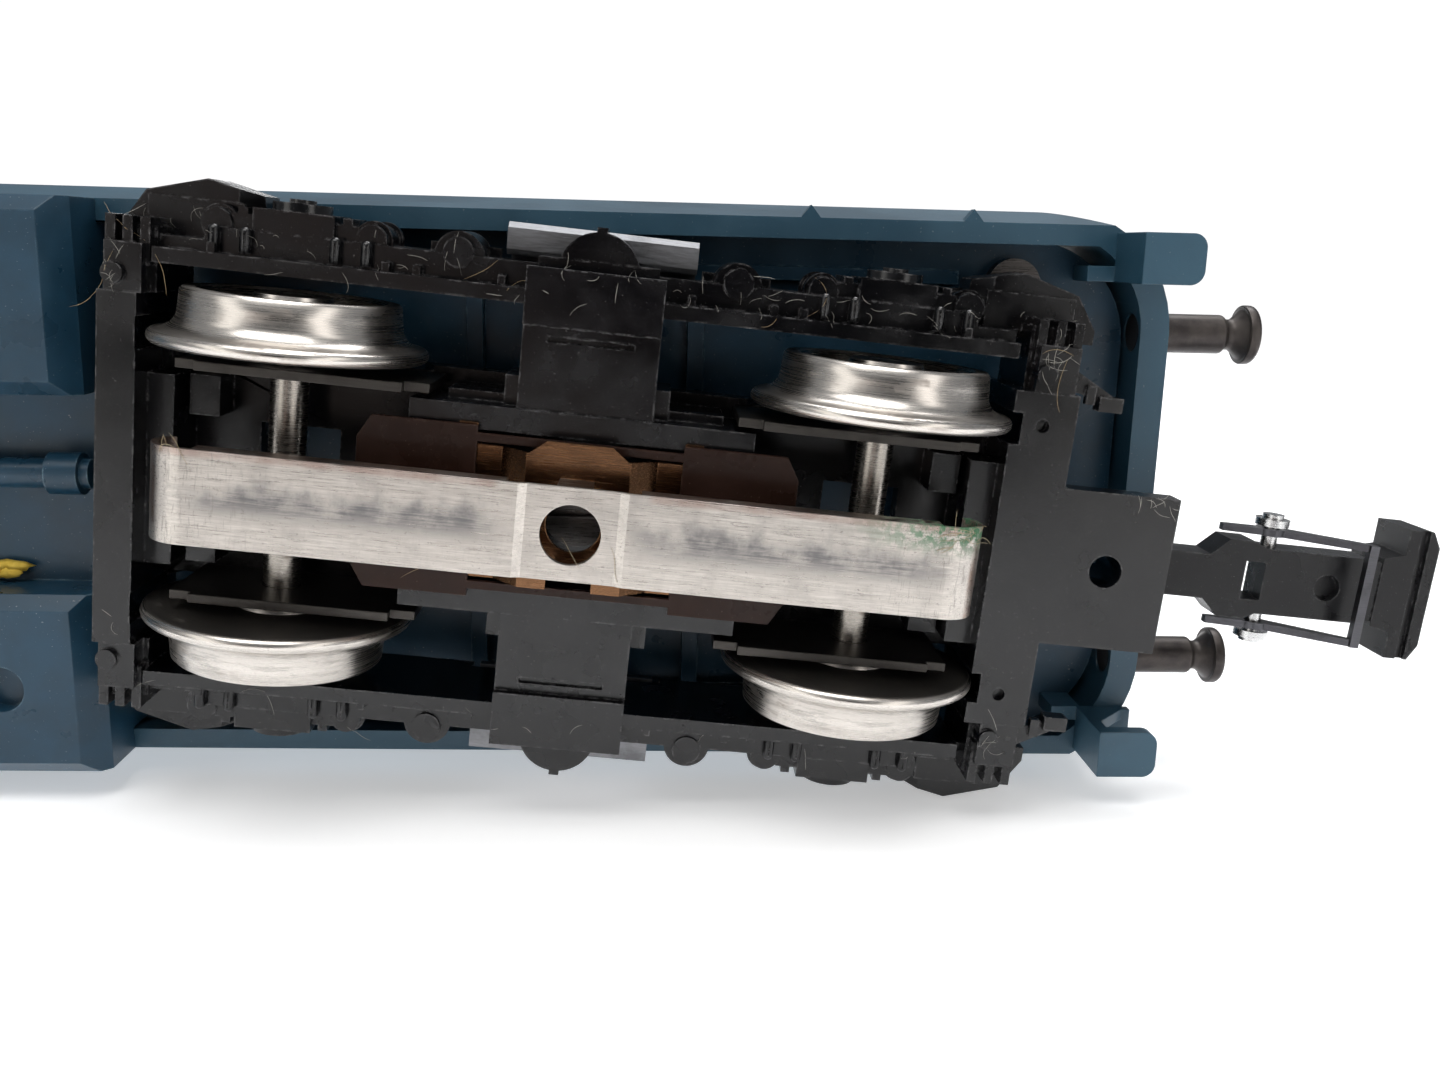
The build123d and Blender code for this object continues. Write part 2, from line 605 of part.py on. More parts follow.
def pivot_screws():
    """The screw under the trailing bogie, and the nut that holds the motor bogie on its ring."""
    head = rod_z(1.9, 0, 0, SCREW_HEAD_TOP - 1.1, SCREW_HEAD_TOP)
    head -= block(-2, 2, -0.22, 0.22, SCREW_HEAD_TOP - 1.2, SCREW_HEAD_TOP - 0.6)
    screw = Pos(PIVOT_X, 0, 0) * (head + rod_z(SCREW_R, 0, 0, SCREW_HEAD_TOP, DECK_TOP - 0.1))
    washer = rod_z(RING_R + 1.2, 0, 0, BRIDGE_Z + BRIDGE_T + GAP, BRIDGE_Z + BRIDGE_T + 0.7)
    cap = washer + rod_z(1.9, 0, 0, BRIDGE_Z + BRIDGE_T + 0.7, BRIDGE_Z + BRIDGE_T + 1.7)
    cap -= block(-2, 2, -0.25, 0.25, BRIDGE_Z + BRIDGE_T + 1.2, BRIDGE_Z + BRIDGE_T + 2)
    return screw, cap


# ---------------------------------------------------------------- couplers


def coupler():
    """Ring, shank, open box and cross head of a hook coupler."""
    z0 = COUPLER_Z
    z1 = COUPLER_Z + COUPLER_T
    half_plan = [(0, 1.3), (6.5, 1.3), (7.5, 2.25), (9.0, 2.25), (9.7, 1.9), (15.8, 1.9)]
    plan = [(x, -y) for x, y in half_plan] + [(x, y) for x, y in reversed(half_plan)]
    shape = Pos(COUPLER_X, 0, 0) * prism_z(plan, z0, z1)
    shape += rod_z(2.6, COUPLER_X, 0, z0, z1)
    shape += block(HEAD_X - 1.1, HEAD_X + 0.2, -1.75, 1.75, z0 + 0.3, z1)
    bar_x = COUPLER_TIP - 1.9
    half_head = [(HEAD_X, 2.0), (bar_x, 2.3), (bar_x, HEAD_HALF_Y), (COUPLER_TIP - 0.5, HEAD_HALF_Y),
                 (COUPLER_TIP, HEAD_HALF_Y - 0.9)]
    head_plan = [(x, -y) for x, y in half_head] + [(x, y) for x, y in reversed(half_head)]
    shape += prism_z(head_plan, z0 + 0.2, z0 + 3.8)
    side_view = [(-5.1, 0), (0, 0), (0, 3.4), (-1.6, 2.7), (-2.3, 1.6), (-4.3, 1.2)]
    hook = prism_y([(HEAD_X + x, z1 + z) for x, z in side_view], -0.6, 0.6)
    shape += hook
    shape -= block(BAIL_X - 1.6, BAIL_X - 0.45, -1.1, 1.1, z0 - 1, z1 + 1)
    shape -= rod_z(0.75, HEAD_X - 3.1, 0, z0 - 1, z0 + 0.5)
    shape -= rod_z(POST_R + FIT, COUPLER_X, 0, z0 - 1, z1 + 1)
    shape -= block(COUPLER_TIP - 1.2, COUPLER_TIP - 0.7, -9, 9, z0, z0 + 0.5)
    shape -= rod_y(0.45, BAIL_X, z0 + 1.2, -3, 3)
    return shape


def coupler_pin():
    """The bail pin with its two round heads."""
    z = COUPLER_Z + 1.2
    x = BAIL_X
    pin = rod_y(0.45, x, z, -3.1, 3.1)
    for side in (1, -1):
        pin += rod_y(0.95, x, z, side * 3.1, side * 3.5)
        pin += rod_y(0.6, x, z, side * 3.5, side * 3.75)
    return pin


def coupler_bail():
    """The bent strip that swings on the pin and hangs below the coupler box."""
    z = COUPLER_Z + 1.2
    x = BAIL_X
    end_x = x + 5.0
    low = BAIL_LOW
    arm = [(x - 0.5, z - 0.6), (x + 0.5, z - 0.75), (end_x, low), (end_x, low + 0.5), (x + 0.5, z + 0.5),
           (x - 0.5, z + 0.5)]
    tail = [(x - 2.9, z - 0.2), (x, z - 0.6), (x, z + 0.3), (x - 2.9, z + 0.3)]
    pieces = []
    for y0, y1 in ((2.55, 2.95), (-2.95, -2.55)):
        pieces += [rod_y(0.85, x, z, y0, y1), prism_y(arm, y0, y1), prism_y(tail, y0, y1)]
    pieces.append(block(end_x - 0.5, end_x, -2.95, 2.95, low, low + 0.5))
    bail = join(pieces)
    return bail - rod_y(0.45 + FIT, x, z, -4, 4)


# ---------------------------------------------------------------- motor bogie


def motor_frame():
    """The cast frame of the driving bogie: floor, beams, two upright walls and the pivot ring."""
    pieces = beams() + coupler_pocket()
    pieces.append(block(-INNER_BEAM_X, OUTER_BEAM_X, -FLOOR_HALF_Y, WALL_Y1, FLOOR_Z, FLOOR_TOP))
    for end in (1, -1):
        pieces.append(block(end * 20.4, end * 23.2, -FLOOR_HALF_Y, FLOOR_HALF_Y, FLOOR_Z, FLOOR_TOP))
    upright = [(-21.0, 4.6), (21.0, 4.6), (21.0, FLOOR_TOP), (10.6, 22.0), (10.6, FIELD_TOP + 1.4),
               (-10.6, FIELD_TOP + 1.4), (-10.6, 22.0), (-21.0, FLOOR_TOP)]
    pieces.append(prism_y(upright, WALL_Y0, WALL_Y1))
    pieces.append(prism_y(upright, BACK_WALL_Y0, BACK_WALL_Y1))
    pieces.append(block(-8.0, 8.0, BACK_WALL_Y0, WALL_Y1, FIELD_TOP, FIELD_TOP + 1.4))
    pieces.append(rod_z(RING_R, 0, 0, FIELD_TOP + 1.4, BRIDGE_Z + BRIDGE_T + GAP))
    for side in (1, -1):
        pieces.append(block(-CROSS_HALF_X, CROSS_HALF_X, side * 4.0, side * 13.0, FRAME_Z - 0.5, SIDE_FOOT))
        pieces.append(block(-CROSS_HALF_X, CROSS_HALF_X, side * 6.6, side * 10.6, FRAME_Z - 0.5, 7.0))
    pieces.append(block(-CROSS_HALF_X, CROSS_HALF_X, -10.6, -6.3, 6.9, FLOOR_TOP))
    pieces.append(block(-5.2, 5.2, -15.1, -6.6, FLOOR_TOP - 0.1, SIDE_TOP))
    pieces.append(block(-5.2, 5.2, -15.1, -13.35, 8.7, FLOOR_TOP))
    pieces.append(block(-5.2, 5.2, 7.2, 15.1, FLOOR_TOP, SIDE_TOP))
    pieces.append(block(-5.2, 5.2, 13.35, 15.1, 8.7, FLOOR_TOP))
    pieces.append(block(-CROSS_HALF_X, CROSS_HALF_X, 7.2, 10.6, 6.9, FLOOR_TOP + 0.1))
    frame = join(pieces)
    for pocket in wheel_pockets():
        frame -= pocket
    frame -= rod_y(ARMATURE_R + 0.5, 0, ARMATURE_Z, BACK_WALL_Y0 - 1, BACK_WALL_Y1 + 1)
    frame -= rod_y(SHAFT_R + FIT, 0, ARMATURE_Z, WALL_Y0 - 1, WALL_Y1 + 1)
    frame -= block(-9.0, 9.0, BACK_WALL_Y0 - 1, BACK_WALL_Y1 + 1, ARMATURE_Z - 1.7, ARMATURE_Z + 1.7)
    for end in (1, -1):
        frame -= rod_y(AXLE_R + FIT, end * AXLE_X, AXLE_Z, -12, 12)
        frame -= rod_y(IDLER_PIN_R, end * IDLER_X, IDLER_Z, WALL_Y0 - 1, WALL_Y1 + 1)
        frame -= rod_y(0.6, end * 8.6, FIELD_TOP - 2.2, BACK_WALL_Y0 - 1, BACK_WALL_Y0 + 0.5)
    frame -= coupler_hole()
    return frame


def field_magnet():
    """The square field yoke with its round bore for the armature."""
    z0 = FLOOR_TOP
    half_x = 9.8
    yoke = block(-half_x, half_x, BACK_WALL_Y1 + 1.2, WALL_Y0, z0, FIELD_TOP)
    yoke -= rod_y(ARMATURE_R + 0.3, 0, ARMATURE_Z, -12, 12)
    notch = rod_y(1.3, 0, ARMATURE_Z, -12, 12)
    for angle in (90, 270):
        yoke -= Pos(0, 0, ARMATURE_Z) * Rot(0, angle, 0) * Pos(ARMATURE_R, 0, -ARMATURE_Z) * notch
    return chamfer(yoke.edges().filter_by(Axis.Y).sort_by(Axis.Z)[-2:], 1.2)


def armature():
    """Shaft and three-pole laminated core, drawn at the armature line."""
    core = rod_y(ARMATURE_R, 0, 0, -3.6, 2.2)
    for pole in range(3):
        slot = block(1.6, 5.0, -4, 3, -2.4, 2.4)
        mouth = block(4.9, 7.0, -4, 3, -0.7, 0.7)
        core -= Rot(0, 120 * pole, 0) * (slot + mouth)
    shaft = rod_y(SHAFT_R, 0, 0, -9.6, GEAR_Y + GEAR_T + 0.4)
    return core + shaft


def armature_windings():
    """The coils that fill the slots beside the three poles."""
    coils = []
    for pole in range(3):
        coil = block(1.9, 4.7, -4.3, 2.7, -2.1, 2.1)
        coils.append(Rot(0, 120 * pole, 0) * coil)
    return coils


def commutator():
    """Three copper segments on the armature shaft."""
    ring = rod_y(2.7, 0, 0, -8.0, -4.6) - rod_y(SHAFT_R, 0, 0, -9, -4)
    ring += rod_y(3.2, 0, 0, -4.9, -4.5) - rod_y(SHAFT_R, 0, 0, -9, -4)
    for segment in range(3):
        cut = block(1.2, 5.0, -8.1, -4.9, -0.15, 0.15)
        ring -= Rot(0, 120 * segment + 60, 0) * cut
    return ring


def brush_plate():
    """The moulded end shield that carries the brushes and the rear shaft bearing."""
    y0 = -9.6
    plate = block(-8.4, 8.4, y0, y0 + 1.1, ARMATURE_Z - 6.4, ARMATURE_Z + 6.4)
    for end in (1, -1):
        for level in (1, -1):
            z = ARMATURE_Z + level * 5.5
            plate += block(end * 8.4, end * 5.6, y0, BACK_WALL_Y0, z - 0.9, z + 0.9)
        plate += block(end * 3.6, end * 8.2, y0 + 1, BRUSH_Y + 1.5, ARMATURE_Z - 1.5, ARMATURE_Z + 1.5)
        plate -= rod_x(0.9 + FIT, BRUSH_Y, ARMATURE_Z, end * 3.0, end * 9.0)
    plate -= rod_y(SHAFT_R + FIT, 0, ARMATURE_Z, -12, -8)
    for level in (1, -1):
        plate -= rod_y(1.5, 0, ARMATURE_Z + level * 4.3, -12, -8)
    return plate


def carbon_brushes():
    """Two round carbon brushes in line with the commutator."""
    return [rod_x(0.9, BRUSH_Y, ARMATURE_Z, end * (2.7 + 0.05), end * 5.4) for end in (1, -1)]


def brush_springs():
    """The coil spring and end cap behind each brush."""
    springs = []
    for end in (1, -1):
        coil = []
        for turn in range(4):
            x = end * (5.75 + 0.6 * turn)
            ring = rod_x(0.8, BRUSH_Y, ARMATURE_Z, x - 0.32, x + 0.32)
            coil.append(ring)
        coil.append(rod_x(1.5, BRUSH_Y, ARMATURE_Z, end * 8.4, end * 8.8))
        coil.append(rod_x(0.8, BRUSH_Y, ARMATURE_Z, end * 7.8, end * 8.5))
        solid = join(coil) - rod_x(0.45, BRUSH_Y, ARMATURE_Z, end * 5, end * 8.2)
        springs.append(solid)
    return springs


def idler_gear(side):
    """One wide idler between the pinion and an axle gear."""
    wheel_disc = gear(IDLER_TEETH, IDLER_PIN_R + FIT, IDLER_PHASE[side], GEAR_Y, GEAR_Y + GEAR_T)
    for hole in range(5):
        wheel_disc -= Rot(0, 72 * hole, 0) * rod_y(1.2, 4.3, 0, GEAR_Y - 1, GEAR_Y + GEAR_T + 1)
    return Pos(side * IDLER_X, 0, IDLER_Z) * wheel_disc


def idler_pins():
    """The two fixed pins that the idlers turn on."""
    pins = []
    for side in (1, -1):
        pin = rod_y(IDLER_PIN_R, side * IDLER_X, IDLER_Z, WALL_Y0, GEAR_Y + GEAR_T + 0.1)
        pin += rod_y(1.5, side * IDLER_X, IDLER_Z, GEAR_Y + GEAR_T + 0.08, GEAR_Y + GEAR_T + 0.5)
        pins.append(pin)
    return pins


def driving_wheels(side):
    """Two driving wheels, one with its gear on a sleeve behind it."""
    far, near = both_sides(wheel(tyre_groove=(side > 0)))
    ring = gear(AXLE_TEETH, AXLE_R, AXLE_PHASE[side], GEAR_Y, GEAR_Y + GEAR_T)
    sleeve = rod_y(HUB_R, 0, 0, GEAR_Y + GEAR_T, BACK_Y - HUB_STEP) - rod_y(AXLE_R, 0, 0, 0, 9)
    return [at_axle(far + ring + sleeve, side), at_axle(near, side)]


# ---------------------------------------------------------------- body shell


def body_section(inset):
    """Half-open end view of the body, shrunk by the wall."""
    y0 = SILL_HALF_Y - inset
    y1 = BODY_HALF_Y - inset
    top = BODY_TOP - inset
    flat = ROOF_FLAT_Y
    shoulder = (BODY_HALF_Y - 4.0 - inset * 0.8, CANT_Z + 8.0 - inset * 0.8)
    half = [
        Line((0, 0), (y0, 0)),
        Line((y0, 0), (y0, BODY_BOTTOM)),
        Line((y0, BODY_BOTTOM), (y1, SILL_BEND_Z)),
        Line((y1, SILL_BEND_Z), (y1, CANT_Z)),
        ThreePointArc((y1, CANT_Z), (BODY_HALF_Y - 1.1 - inset, CANT_Z + 5.0 - inset * 0.3), shoulder),
        ThreePointArc(shoulder, (BODY_HALF_Y - 6.6 - inset * 0.3, BODY_TOP - 1.2 - inset), (flat, top)),
        Line((flat, top), (0, top)),
        Line((0, top), (0, 0)),
    ]
    face = make_face(Plane.YZ * Curve(children=half))
    right = Pos(-BODY_HALF_X - 5, 0, 0) * extrude(face, amount=2 * BODY_HALF_X + 10, dir=(1, 0, 0))
    return right + mirror(right, about=Plane.XZ)


def body_profile(inset):
    """Side view of the body, with both cab fronts leaning back, shrunk by the front wall."""
    x0 = BODY_HALF_X - inset
    brow = FRONT_BROW_X - inset
    roof_x = FRONT_BROW_X - 7.0 - inset * 0.6
    roof_z = BODY_TOP + 2
    roof_end = (roof_x, BODY_TOP + 0.3 - inset)
    half = [
        Line((0, -1), (x0, -1)),
        Line((x0, -1), (x0, FRONT_FOOT_Z)),
        Line((x0, FRONT_FOOT_Z), (brow, FRONT_BROW_Z)),
        ThreePointArc((brow, FRONT_BROW_Z), (brow - 2.0, FRONT_BROW_Z + 4.6), roof_end),
        Line(roof_end, (roof_x - 4, roof_z)),
        Line((roof_x - 4, roof_z), (0, roof_z)),
        Line((0, roof_z), (0, -1)),
    ]
    face = make_face(Plane.XZ * Curve(children=half))
    front = Pos(0, -BODY_HALF_Y - 5, 0) * extrude(face, amount=2 * BODY_HALF_Y + 10, dir=(0, 1, 0))
    return front + mirror(front, about=Plane.YZ)


def body_plan(inset_x, inset_y, corner):
    """Plan outline of the body, with rounded corners, as a tall block."""
    outline = RectangleRounded(2 * (BODY_HALF_X - inset_x), 2 * (BODY_HALF_Y - inset_y), corner)
    return extrude(outline, amount=BODY_TOP + 4)


def side_opening(x, width, z0, z1, depth0, depth1):
    """A box with rounded corners through the +Y wall, from depth0 to depth1 across."""
    face = Plane.XZ * (Pos(x, (z0 + z1) / 2) * RectangleRounded(width, z1 - z0, 0.7))
    return Pos(0, depth0, 0) * extrude(face, amount=depth1 - depth0, dir=(0, 1, 0))


def screen_opening(side, grow=0.0, depth0=-8.0, depth1=4.0):
    """The slot of one windscreen, square to the leaning cab front."""
    slope = (BODY_HALF_X - FRONT_BROW_X) / (FRONT_BROW_Z - FRONT_FOOT_Z)
    z_mid = 35.0
    x_mid = BODY_HALF_X - slope * (z_mid - FRONT_FOOT_Z)
    height = 9.0 + grow
    face = RectangleRounded(height, SCREEN_W + grow, 1.0)
    pane = extrude(face, amount=depth1 - depth0)
    tilt = Rot(0, 90 - lean_degrees(), 0)
    return Pos(x_mid, side * SCREEN_Y, z_mid) * tilt * Pos(0, 0, depth0) * pane


def lean_degrees():
    """How far the cab front leans back from upright."""
    run = BODY_HALF_X - FRONT_BROW_X
    rise = FRONT_BROW_Z - FRONT_FOOT_Z
    return asin_degrees(run / sqrt(run * run + rise * rise))


def asin_degrees(value):
    return 90 - acos(value) * 180 / pi


def body_shell():
    """The one-piece body with cabs, roof, window openings, door lines and screw posts."""
    outer = body_section(0) & body_profile(0) & body_plan(0, 0, CORNER_R)
    inner = body_section(SIDE_WALL) & body_profile(FRONT_WALL)
    inner = inner & body_plan(FRONT_WALL, SIDE_WALL, CORNER_R - SIDE_WALL)
    shell = outer - inner
    shell -= block(-BODY_HALF_X - 6, BODY_HALF_X + 6, -BODY_HALF_Y - 3, BODY_HALF_Y + 3, -2, BODY_BOTTOM)
    for x, y in SHELL_SCREWS:
        side = 1 if y > 0 else -1
        post = block(x - 2.2, x + 2.2, y - side * 2.2, y + side * 4.0, DECK_TOP, SCREW_TIP_Z + 1.5)
        shell += post & outer
        shell -= rod_z(SHELL_SCREW_R, x, y, DECK_TOP - 1, SCREW_TIP_Z)
    for side in (1, -1):
        for x in SILL_LUGS:
            shell += join(both_ends(sill_lug(BODY_HALF_X - x, side)))
        for x in SIDE_WINDOWS:
            shell -= wall_cut(x, WINDOW_W, WINDOW_Z0, WINDOW_Z1, side)
        for x in SIDE_GRILLES:
            shell -= wall_pocket(x, GRILLE_W, GRILLE_Z0, GRILLE_Z1, side, 0.7)
        for end in (1, -1):
            shell -= wall_cut(end * CAB_WINDOW_X, CAB_WINDOW_W, WINDOW_Z0, WINDOW_Z1 + 0.8, side)
            shell -= wall_cut(end * DOOR_X, DOOR_W - 2.6, WINDOW_Z0, WINDOW_Z1 + 0.8, side)
            shell -= door_lines(end * DOOR_X, side)
            for x in rail_places(end):
                shell -= wall_pocket(x, 1.6, RAIL_Z0 - 0.4, RAIL_Z1 + 0.4, side, RAIL_POCKET)
    far = BODY_HALF_X + 6
    for end in (0, 180):
        turn = Rot(0, 0, end)
        for side in (1, -1):
            shell -= turn * screen_opening(side)
            shell -= turn * rod_x(BUFFER_HOLE_R, side * BUFFER_Y, BUFFER_Z, BODY_HALF_X - 6, far)
            shell -= turn * rod_x(LAMP_R + FIT, side * LAMP_Y, LAMP_Z, BODY_HALF_X - 6, far)
        shell -= turn * rod_x(LAMP_R + FIT, 0, TOP_LAMP_Z, BODY_HALF_X - 14, far)
    shell -= rod_z(FAN_R + 0.05, FAN_X, 0, BODY_TOP - 5, BODY_TOP + 3)
    shell -= block(EXHAUST_X - 3.05, EXHAUST_X + 3.05, -2.05, 2.05, BODY_TOP - 5, BODY_TOP + 3)
    for x in (-46.0, -4.0, 26.0, 46.0):
        shell -= roof_seam(x)
    return shell


def sill_lug(x, side):
    """A small pointed lug on the lower edge of the body side."""
    y = SILL_HALF_Y
    plan = [(x - 0.8, y - 0.3), (x, y + 0.7), (x + 0.8, y - 0.3)]
    lug = prism_z(plan, BODY_BOTTOM, BODY_BOTTOM + 1.0)
    return lug if side > 0 else mirror(lug, about=Plane.XZ)


def rail_places(end):
    """Where the two handrails beside a cab door stand."""
    return end * DOOR_X - 4.6, end * DOOR_X + 4.6


def wall_cut(x, width, z0, z1, side):
    """A rounded opening through one side wall."""
    cut = side_opening(x, width, z0, z1, BODY_HALF_Y - 3, BODY_HALF_Y + 3)
    return cut if side > 0 else mirror(cut, about=Plane.XZ)


def wall_pocket(x, width, z0, z1, side, depth):
    """A shallow rounded pocket in one side wall."""
    cut = side_opening(x, width, z0, z1, BODY_HALF_Y - depth, BODY_HALF_Y + 3)
    return cut if side > 0 else mirror(cut, about=Plane.XZ)


def door_lines(x, side):
    """The narrow groove round a cab door."""
    depth = 0.25
    y0 = BODY_HALF_Y - depth
    outline = side_opening(x, DOOR_W, SILL_BEND_Z + 0.6, CANT_Z - 0.4, y0, BODY_HALF_Y + 1)
    core = side_opening(x, DOOR_W - 0.6, SILL_BEND_Z + 0.9, CANT_Z - 0.7, y0 - 1, BODY_HALF_Y + 2)
    groove = outline - core
    return groove if side > 0 else mirror(groove, about=Plane.XZ)


def roof_seam(x):
    """A groove across the roof between two hatches."""
    whole = body_section(0) - body_section(0.25)
    return whole & block(x - 0.15, x + 0.15, -20, 20, CANT_Z + 1, BODY_TOP + 2)


# ---------------------------------------------------------------- body fittings
def windscreens():
    """Four clear windscreens, set in the cab fronts."""
    panes = []
    for side in (1, -1):
        pane = screen_opening(side, -2 * FIT, -FRONT_WALL, -0.25)
        panes += both_ends(pane)
    return panes


def side_windows():
    """Clear panes in the side, cab and door windows."""
    panes = []
    for side in (1, -1):
        for x in SIDE_WINDOWS:
            panes.append(pane_in_wall(x, WINDOW_W, WINDOW_Z1, side))
        for end in (1, -1):
            panes.append(pane_in_wall(end * CAB_WINDOW_X, CAB_WINDOW_W, WINDOW_Z1 + 0.8, side))
            panes.append(pane_in_wall(end * DOOR_X, DOOR_W - 2.6, WINDOW_Z1 + 0.8, side))
    return panes


def pane_in_wall(x, width, z1, side):
    """One pane that fills its opening with a small clearance."""
    y0 = BODY_HALF_Y - SIDE_WALL
    pane = side_opening(x, width - 2 * FIT, WINDOW_Z0 + FIT, z1 - FIT, y0, BODY_HALF_Y - 0.2)
    return pane if side > 0 else mirror(pane, about=Plane.XZ)


def side_grilles():
    """Louvred ventilation grilles in their pockets."""
    grilles = []
    for side in (1, -1):
        for x in SIDE_GRILLES:
            panel = side_opening(x, GRILLE_W - 2 * FIT, GRILLE_Z0 + FIT, GRILLE_Z1 - FIT,
                                 BODY_HALF_Y - 0.7, BODY_HALF_Y + 0.1)
            level = GRILLE_Z0 + 1.1
            while level < GRILLE_Z1 - 1.2:
                slot = prism_x([(BODY_HALF_Y - 0.35, level), (BODY_HALF_Y + 0.3, level - 0.25),
                                (BODY_HALF_Y + 0.3, level + 0.45), (BODY_HALF_Y - 0.35, level + 0.45)],
                               x - GRILLE_W / 2 + 0.7, x - 0.3)
                panel -= slot
                panel -= Pos(GRILLE_W / 2 - 0.4, 0, 0) * slot
                level += 0.85
            grilles.append(panel if side > 0 else mirror(panel, about=Plane.XZ))
    return grilles


def roof_grille():
    """Round cover of the radiator fan, with rings and spokes."""
    z1 = BODY_TOP + 0.5
    z0 = BODY_TOP - 0.9
    ring = rod_z(FAN_R, FAN_X, 0, z0, z1) - rod_z(FAN_R - 0.8, FAN_X, 0, z0 - 1, z1 + 1)
    pieces = [ring, rod_z(1.3, FAN_X, 0, z0, z1)]
    for radius in (2.8, 4.4):
        hoop = rod_z(radius + 0.2, FAN_X, 0, z1 - 0.6, z1 - 0.1)
        pieces.append(hoop - rod_z(radius - 0.2, FAN_X, 0, z0, z1 + 1))
    for spoke in range(8):
        bar = block(1.0, FAN_R - 0.4, -0.2, 0.2, z1 - 0.5, z1)
        pieces.append(Pos(FAN_X, 0, 0) * Rot(0, 0, 45 * spoke) * bar)
    return join(pieces)


def radiator_fan():
    """Six-blade fan under the roof grille, on the grille's hub."""
    z1 = BODY_TOP - 1.0
    fan = rod_z(1.8, FAN_X, 0, z1 - 2.4, z1)
    for blade in range(6):
        vane = Rot(24, 0, 0) * block(1.4, FAN_R - 0.6, -1.3, 1.3, -0.2, 0.2)
        fan += Pos(FAN_X, 0, z1 - 1.3) * Rot(0, 0, 60 * blade) * vane
    return fan


def exhaust_stack():
    """The low twin exhaust outlet on the roof."""
    stack = block(EXHAUST_X - 3.0, EXHAUST_X + 3.0, -2.0, 2.0, BODY_TOP - SIDE_WALL, BODY_TOP + 1.2)
    for shift in (-1.4, 1.4):
        stack -= rod_z(1.0, EXHAUST_X + shift, 0, BODY_TOP - 0.2, BODY_TOP + 2)
    return chamfer(stack.edges().filter_by(Axis.Z).sort_by(Axis.X)[:2], 0.5)


def roof_horns():
    """Two air horns on their feet above each cab."""
    horns = []
    for side in (1, -1):
        x = 66.0
        y = side * 4.2
        z = BODY_TOP + 1.4
        trumpet = Pos(x + 1.2, y, z) * Rot(0, 90, 0) * Cone(0.45, 1.1, 3.6)
        foot = block(x - 1.6, x - 0.8, y - 0.4, y + 0.4, BODY_TOP, z)
        horns += both_ends(trumpet + rod_x(0.5, y, z, x - 2.2, x - 0.4) + foot)
    return horns


def handrails():
    """Bent wire rails beside the cab doors, in their pockets, and across both cab fronts."""
    rails = []
    foot_r = 0.9 * RAIL_R
    for side in (1, -1):
        y0 = side * (BODY_HALF_Y - RAIL_POCKET)
        y1 = side * (BODY_HALF_Y - RAIL_R - FIT)
        for x in rail_places(1) + rail_places(-1):
            rail = rod_z(RAIL_R, x, y1, RAIL_Z0, RAIL_Z1)
            for z in (RAIL_Z0 + RAIL_R, RAIL_Z1 - RAIL_R):
                rail += rod_y(foot_r, x, z, y0, y1)
            rails.append(rail)
    for side in (1, -1):
        x = BODY_HALF_X + 0.9
        rail = rod_y(RAIL_R, x, FRONT_RAIL_Z, side * 2.4, side * 9.6)
        for y in (2.7, 9.3):
            rail += rod_x(foot_r, side * y, FRONT_RAIL_Z, BODY_HALF_X, x)
        rails += both_ends(rail)
    return rails


def headlight_lenses():
    """Two low headlights and one high lamp at each end."""
    lenses = []
    for side in (1, -1):
        lens = rod_x(LAMP_R, side * LAMP_Y, LAMP_Z, BODY_HALF_X - FRONT_WALL, BODY_HALF_X + 0.3)
        lens = fillet(lens.edges().filter_by(GeomType.CIRCLE).sort_by(Axis.X)[-1:], 0.25)
        lenses += both_ends(lens)
    top = rod_x(LAMP_R, 0, TOP_LAMP_Z, FRONT_BROW_X - 5.4, FRONT_BROW_X + 0.2)
    lenses += both_ends(top)
    return lenses


def wipers():
    """One wiper arm with its blade below each windscreen."""
    arms = []
    slope = (BODY_HALF_X - FRONT_BROW_X) / (FRONT_BROW_Z - FRONT_FOOT_Z)
    for side in (1, -1):
        y = side * SCREEN_Y
        arm = block(-0.12, 0.12, -0.22, 0.22, 0, 6.4)
        blade = block(-0.16, 0.1, -0.3, 0.3, 2.6, 7.0)
        z0 = FRONT_FOOT_Z + 1.6
        x0 = BODY_HALF_X + 0.25 - slope * (z0 - FRONT_FOOT_Z)
        foot = rod_x(0.5, y, z0, x0 - 0.05, x0 + 0.45)
        sweep = Pos(x0, y, z0) * Rot(0, -lean_degrees(), 0) * Rot(side * 22, 0, 0) * (arm + blade)
        arms += both_ends(foot + sweep)
    return arms


def buffers():
    """Four fixed buffers, pressed into the cab fronts."""
    made = []
    for side in (1, -1):
        y = side * BUFFER_Y
        neck_x = BUFFER_TIP - 1.9
        stem = rod_x(BUFFER_HOLE_R, y, BUFFER_Z, BODY_HALF_X - FRONT_WALL, neck_x)
        stem = chamfer(stem.edges().filter_by(GeomType.CIRCLE).sort_by(Axis.X)[-1:], 0.25)
        stem += rod_x(BUFFER_HOLE_R - 0.25, y, BUFFER_Z, neck_x, BUFFER_TIP - 0.8)
        head = Pos(BUFFER_TIP - 0.55, y, BUFFER_Z) * Rot(0, 90, 0) * Cylinder(BUFFER_HEAD_R, 0.7)
        head = fillet(head.edges().filter_by(GeomType.CIRCLE).sort_by(Axis.X)[-1:], 0.3)
        cone = Pos(BUFFER_TIP - 1.2, y, BUFFER_Z) * Rot(0, 90, 0) * Cone(0.9, BUFFER_HEAD_R - 0.25, 0.7)
        made += both_ends(stem + cone + head)
    return made


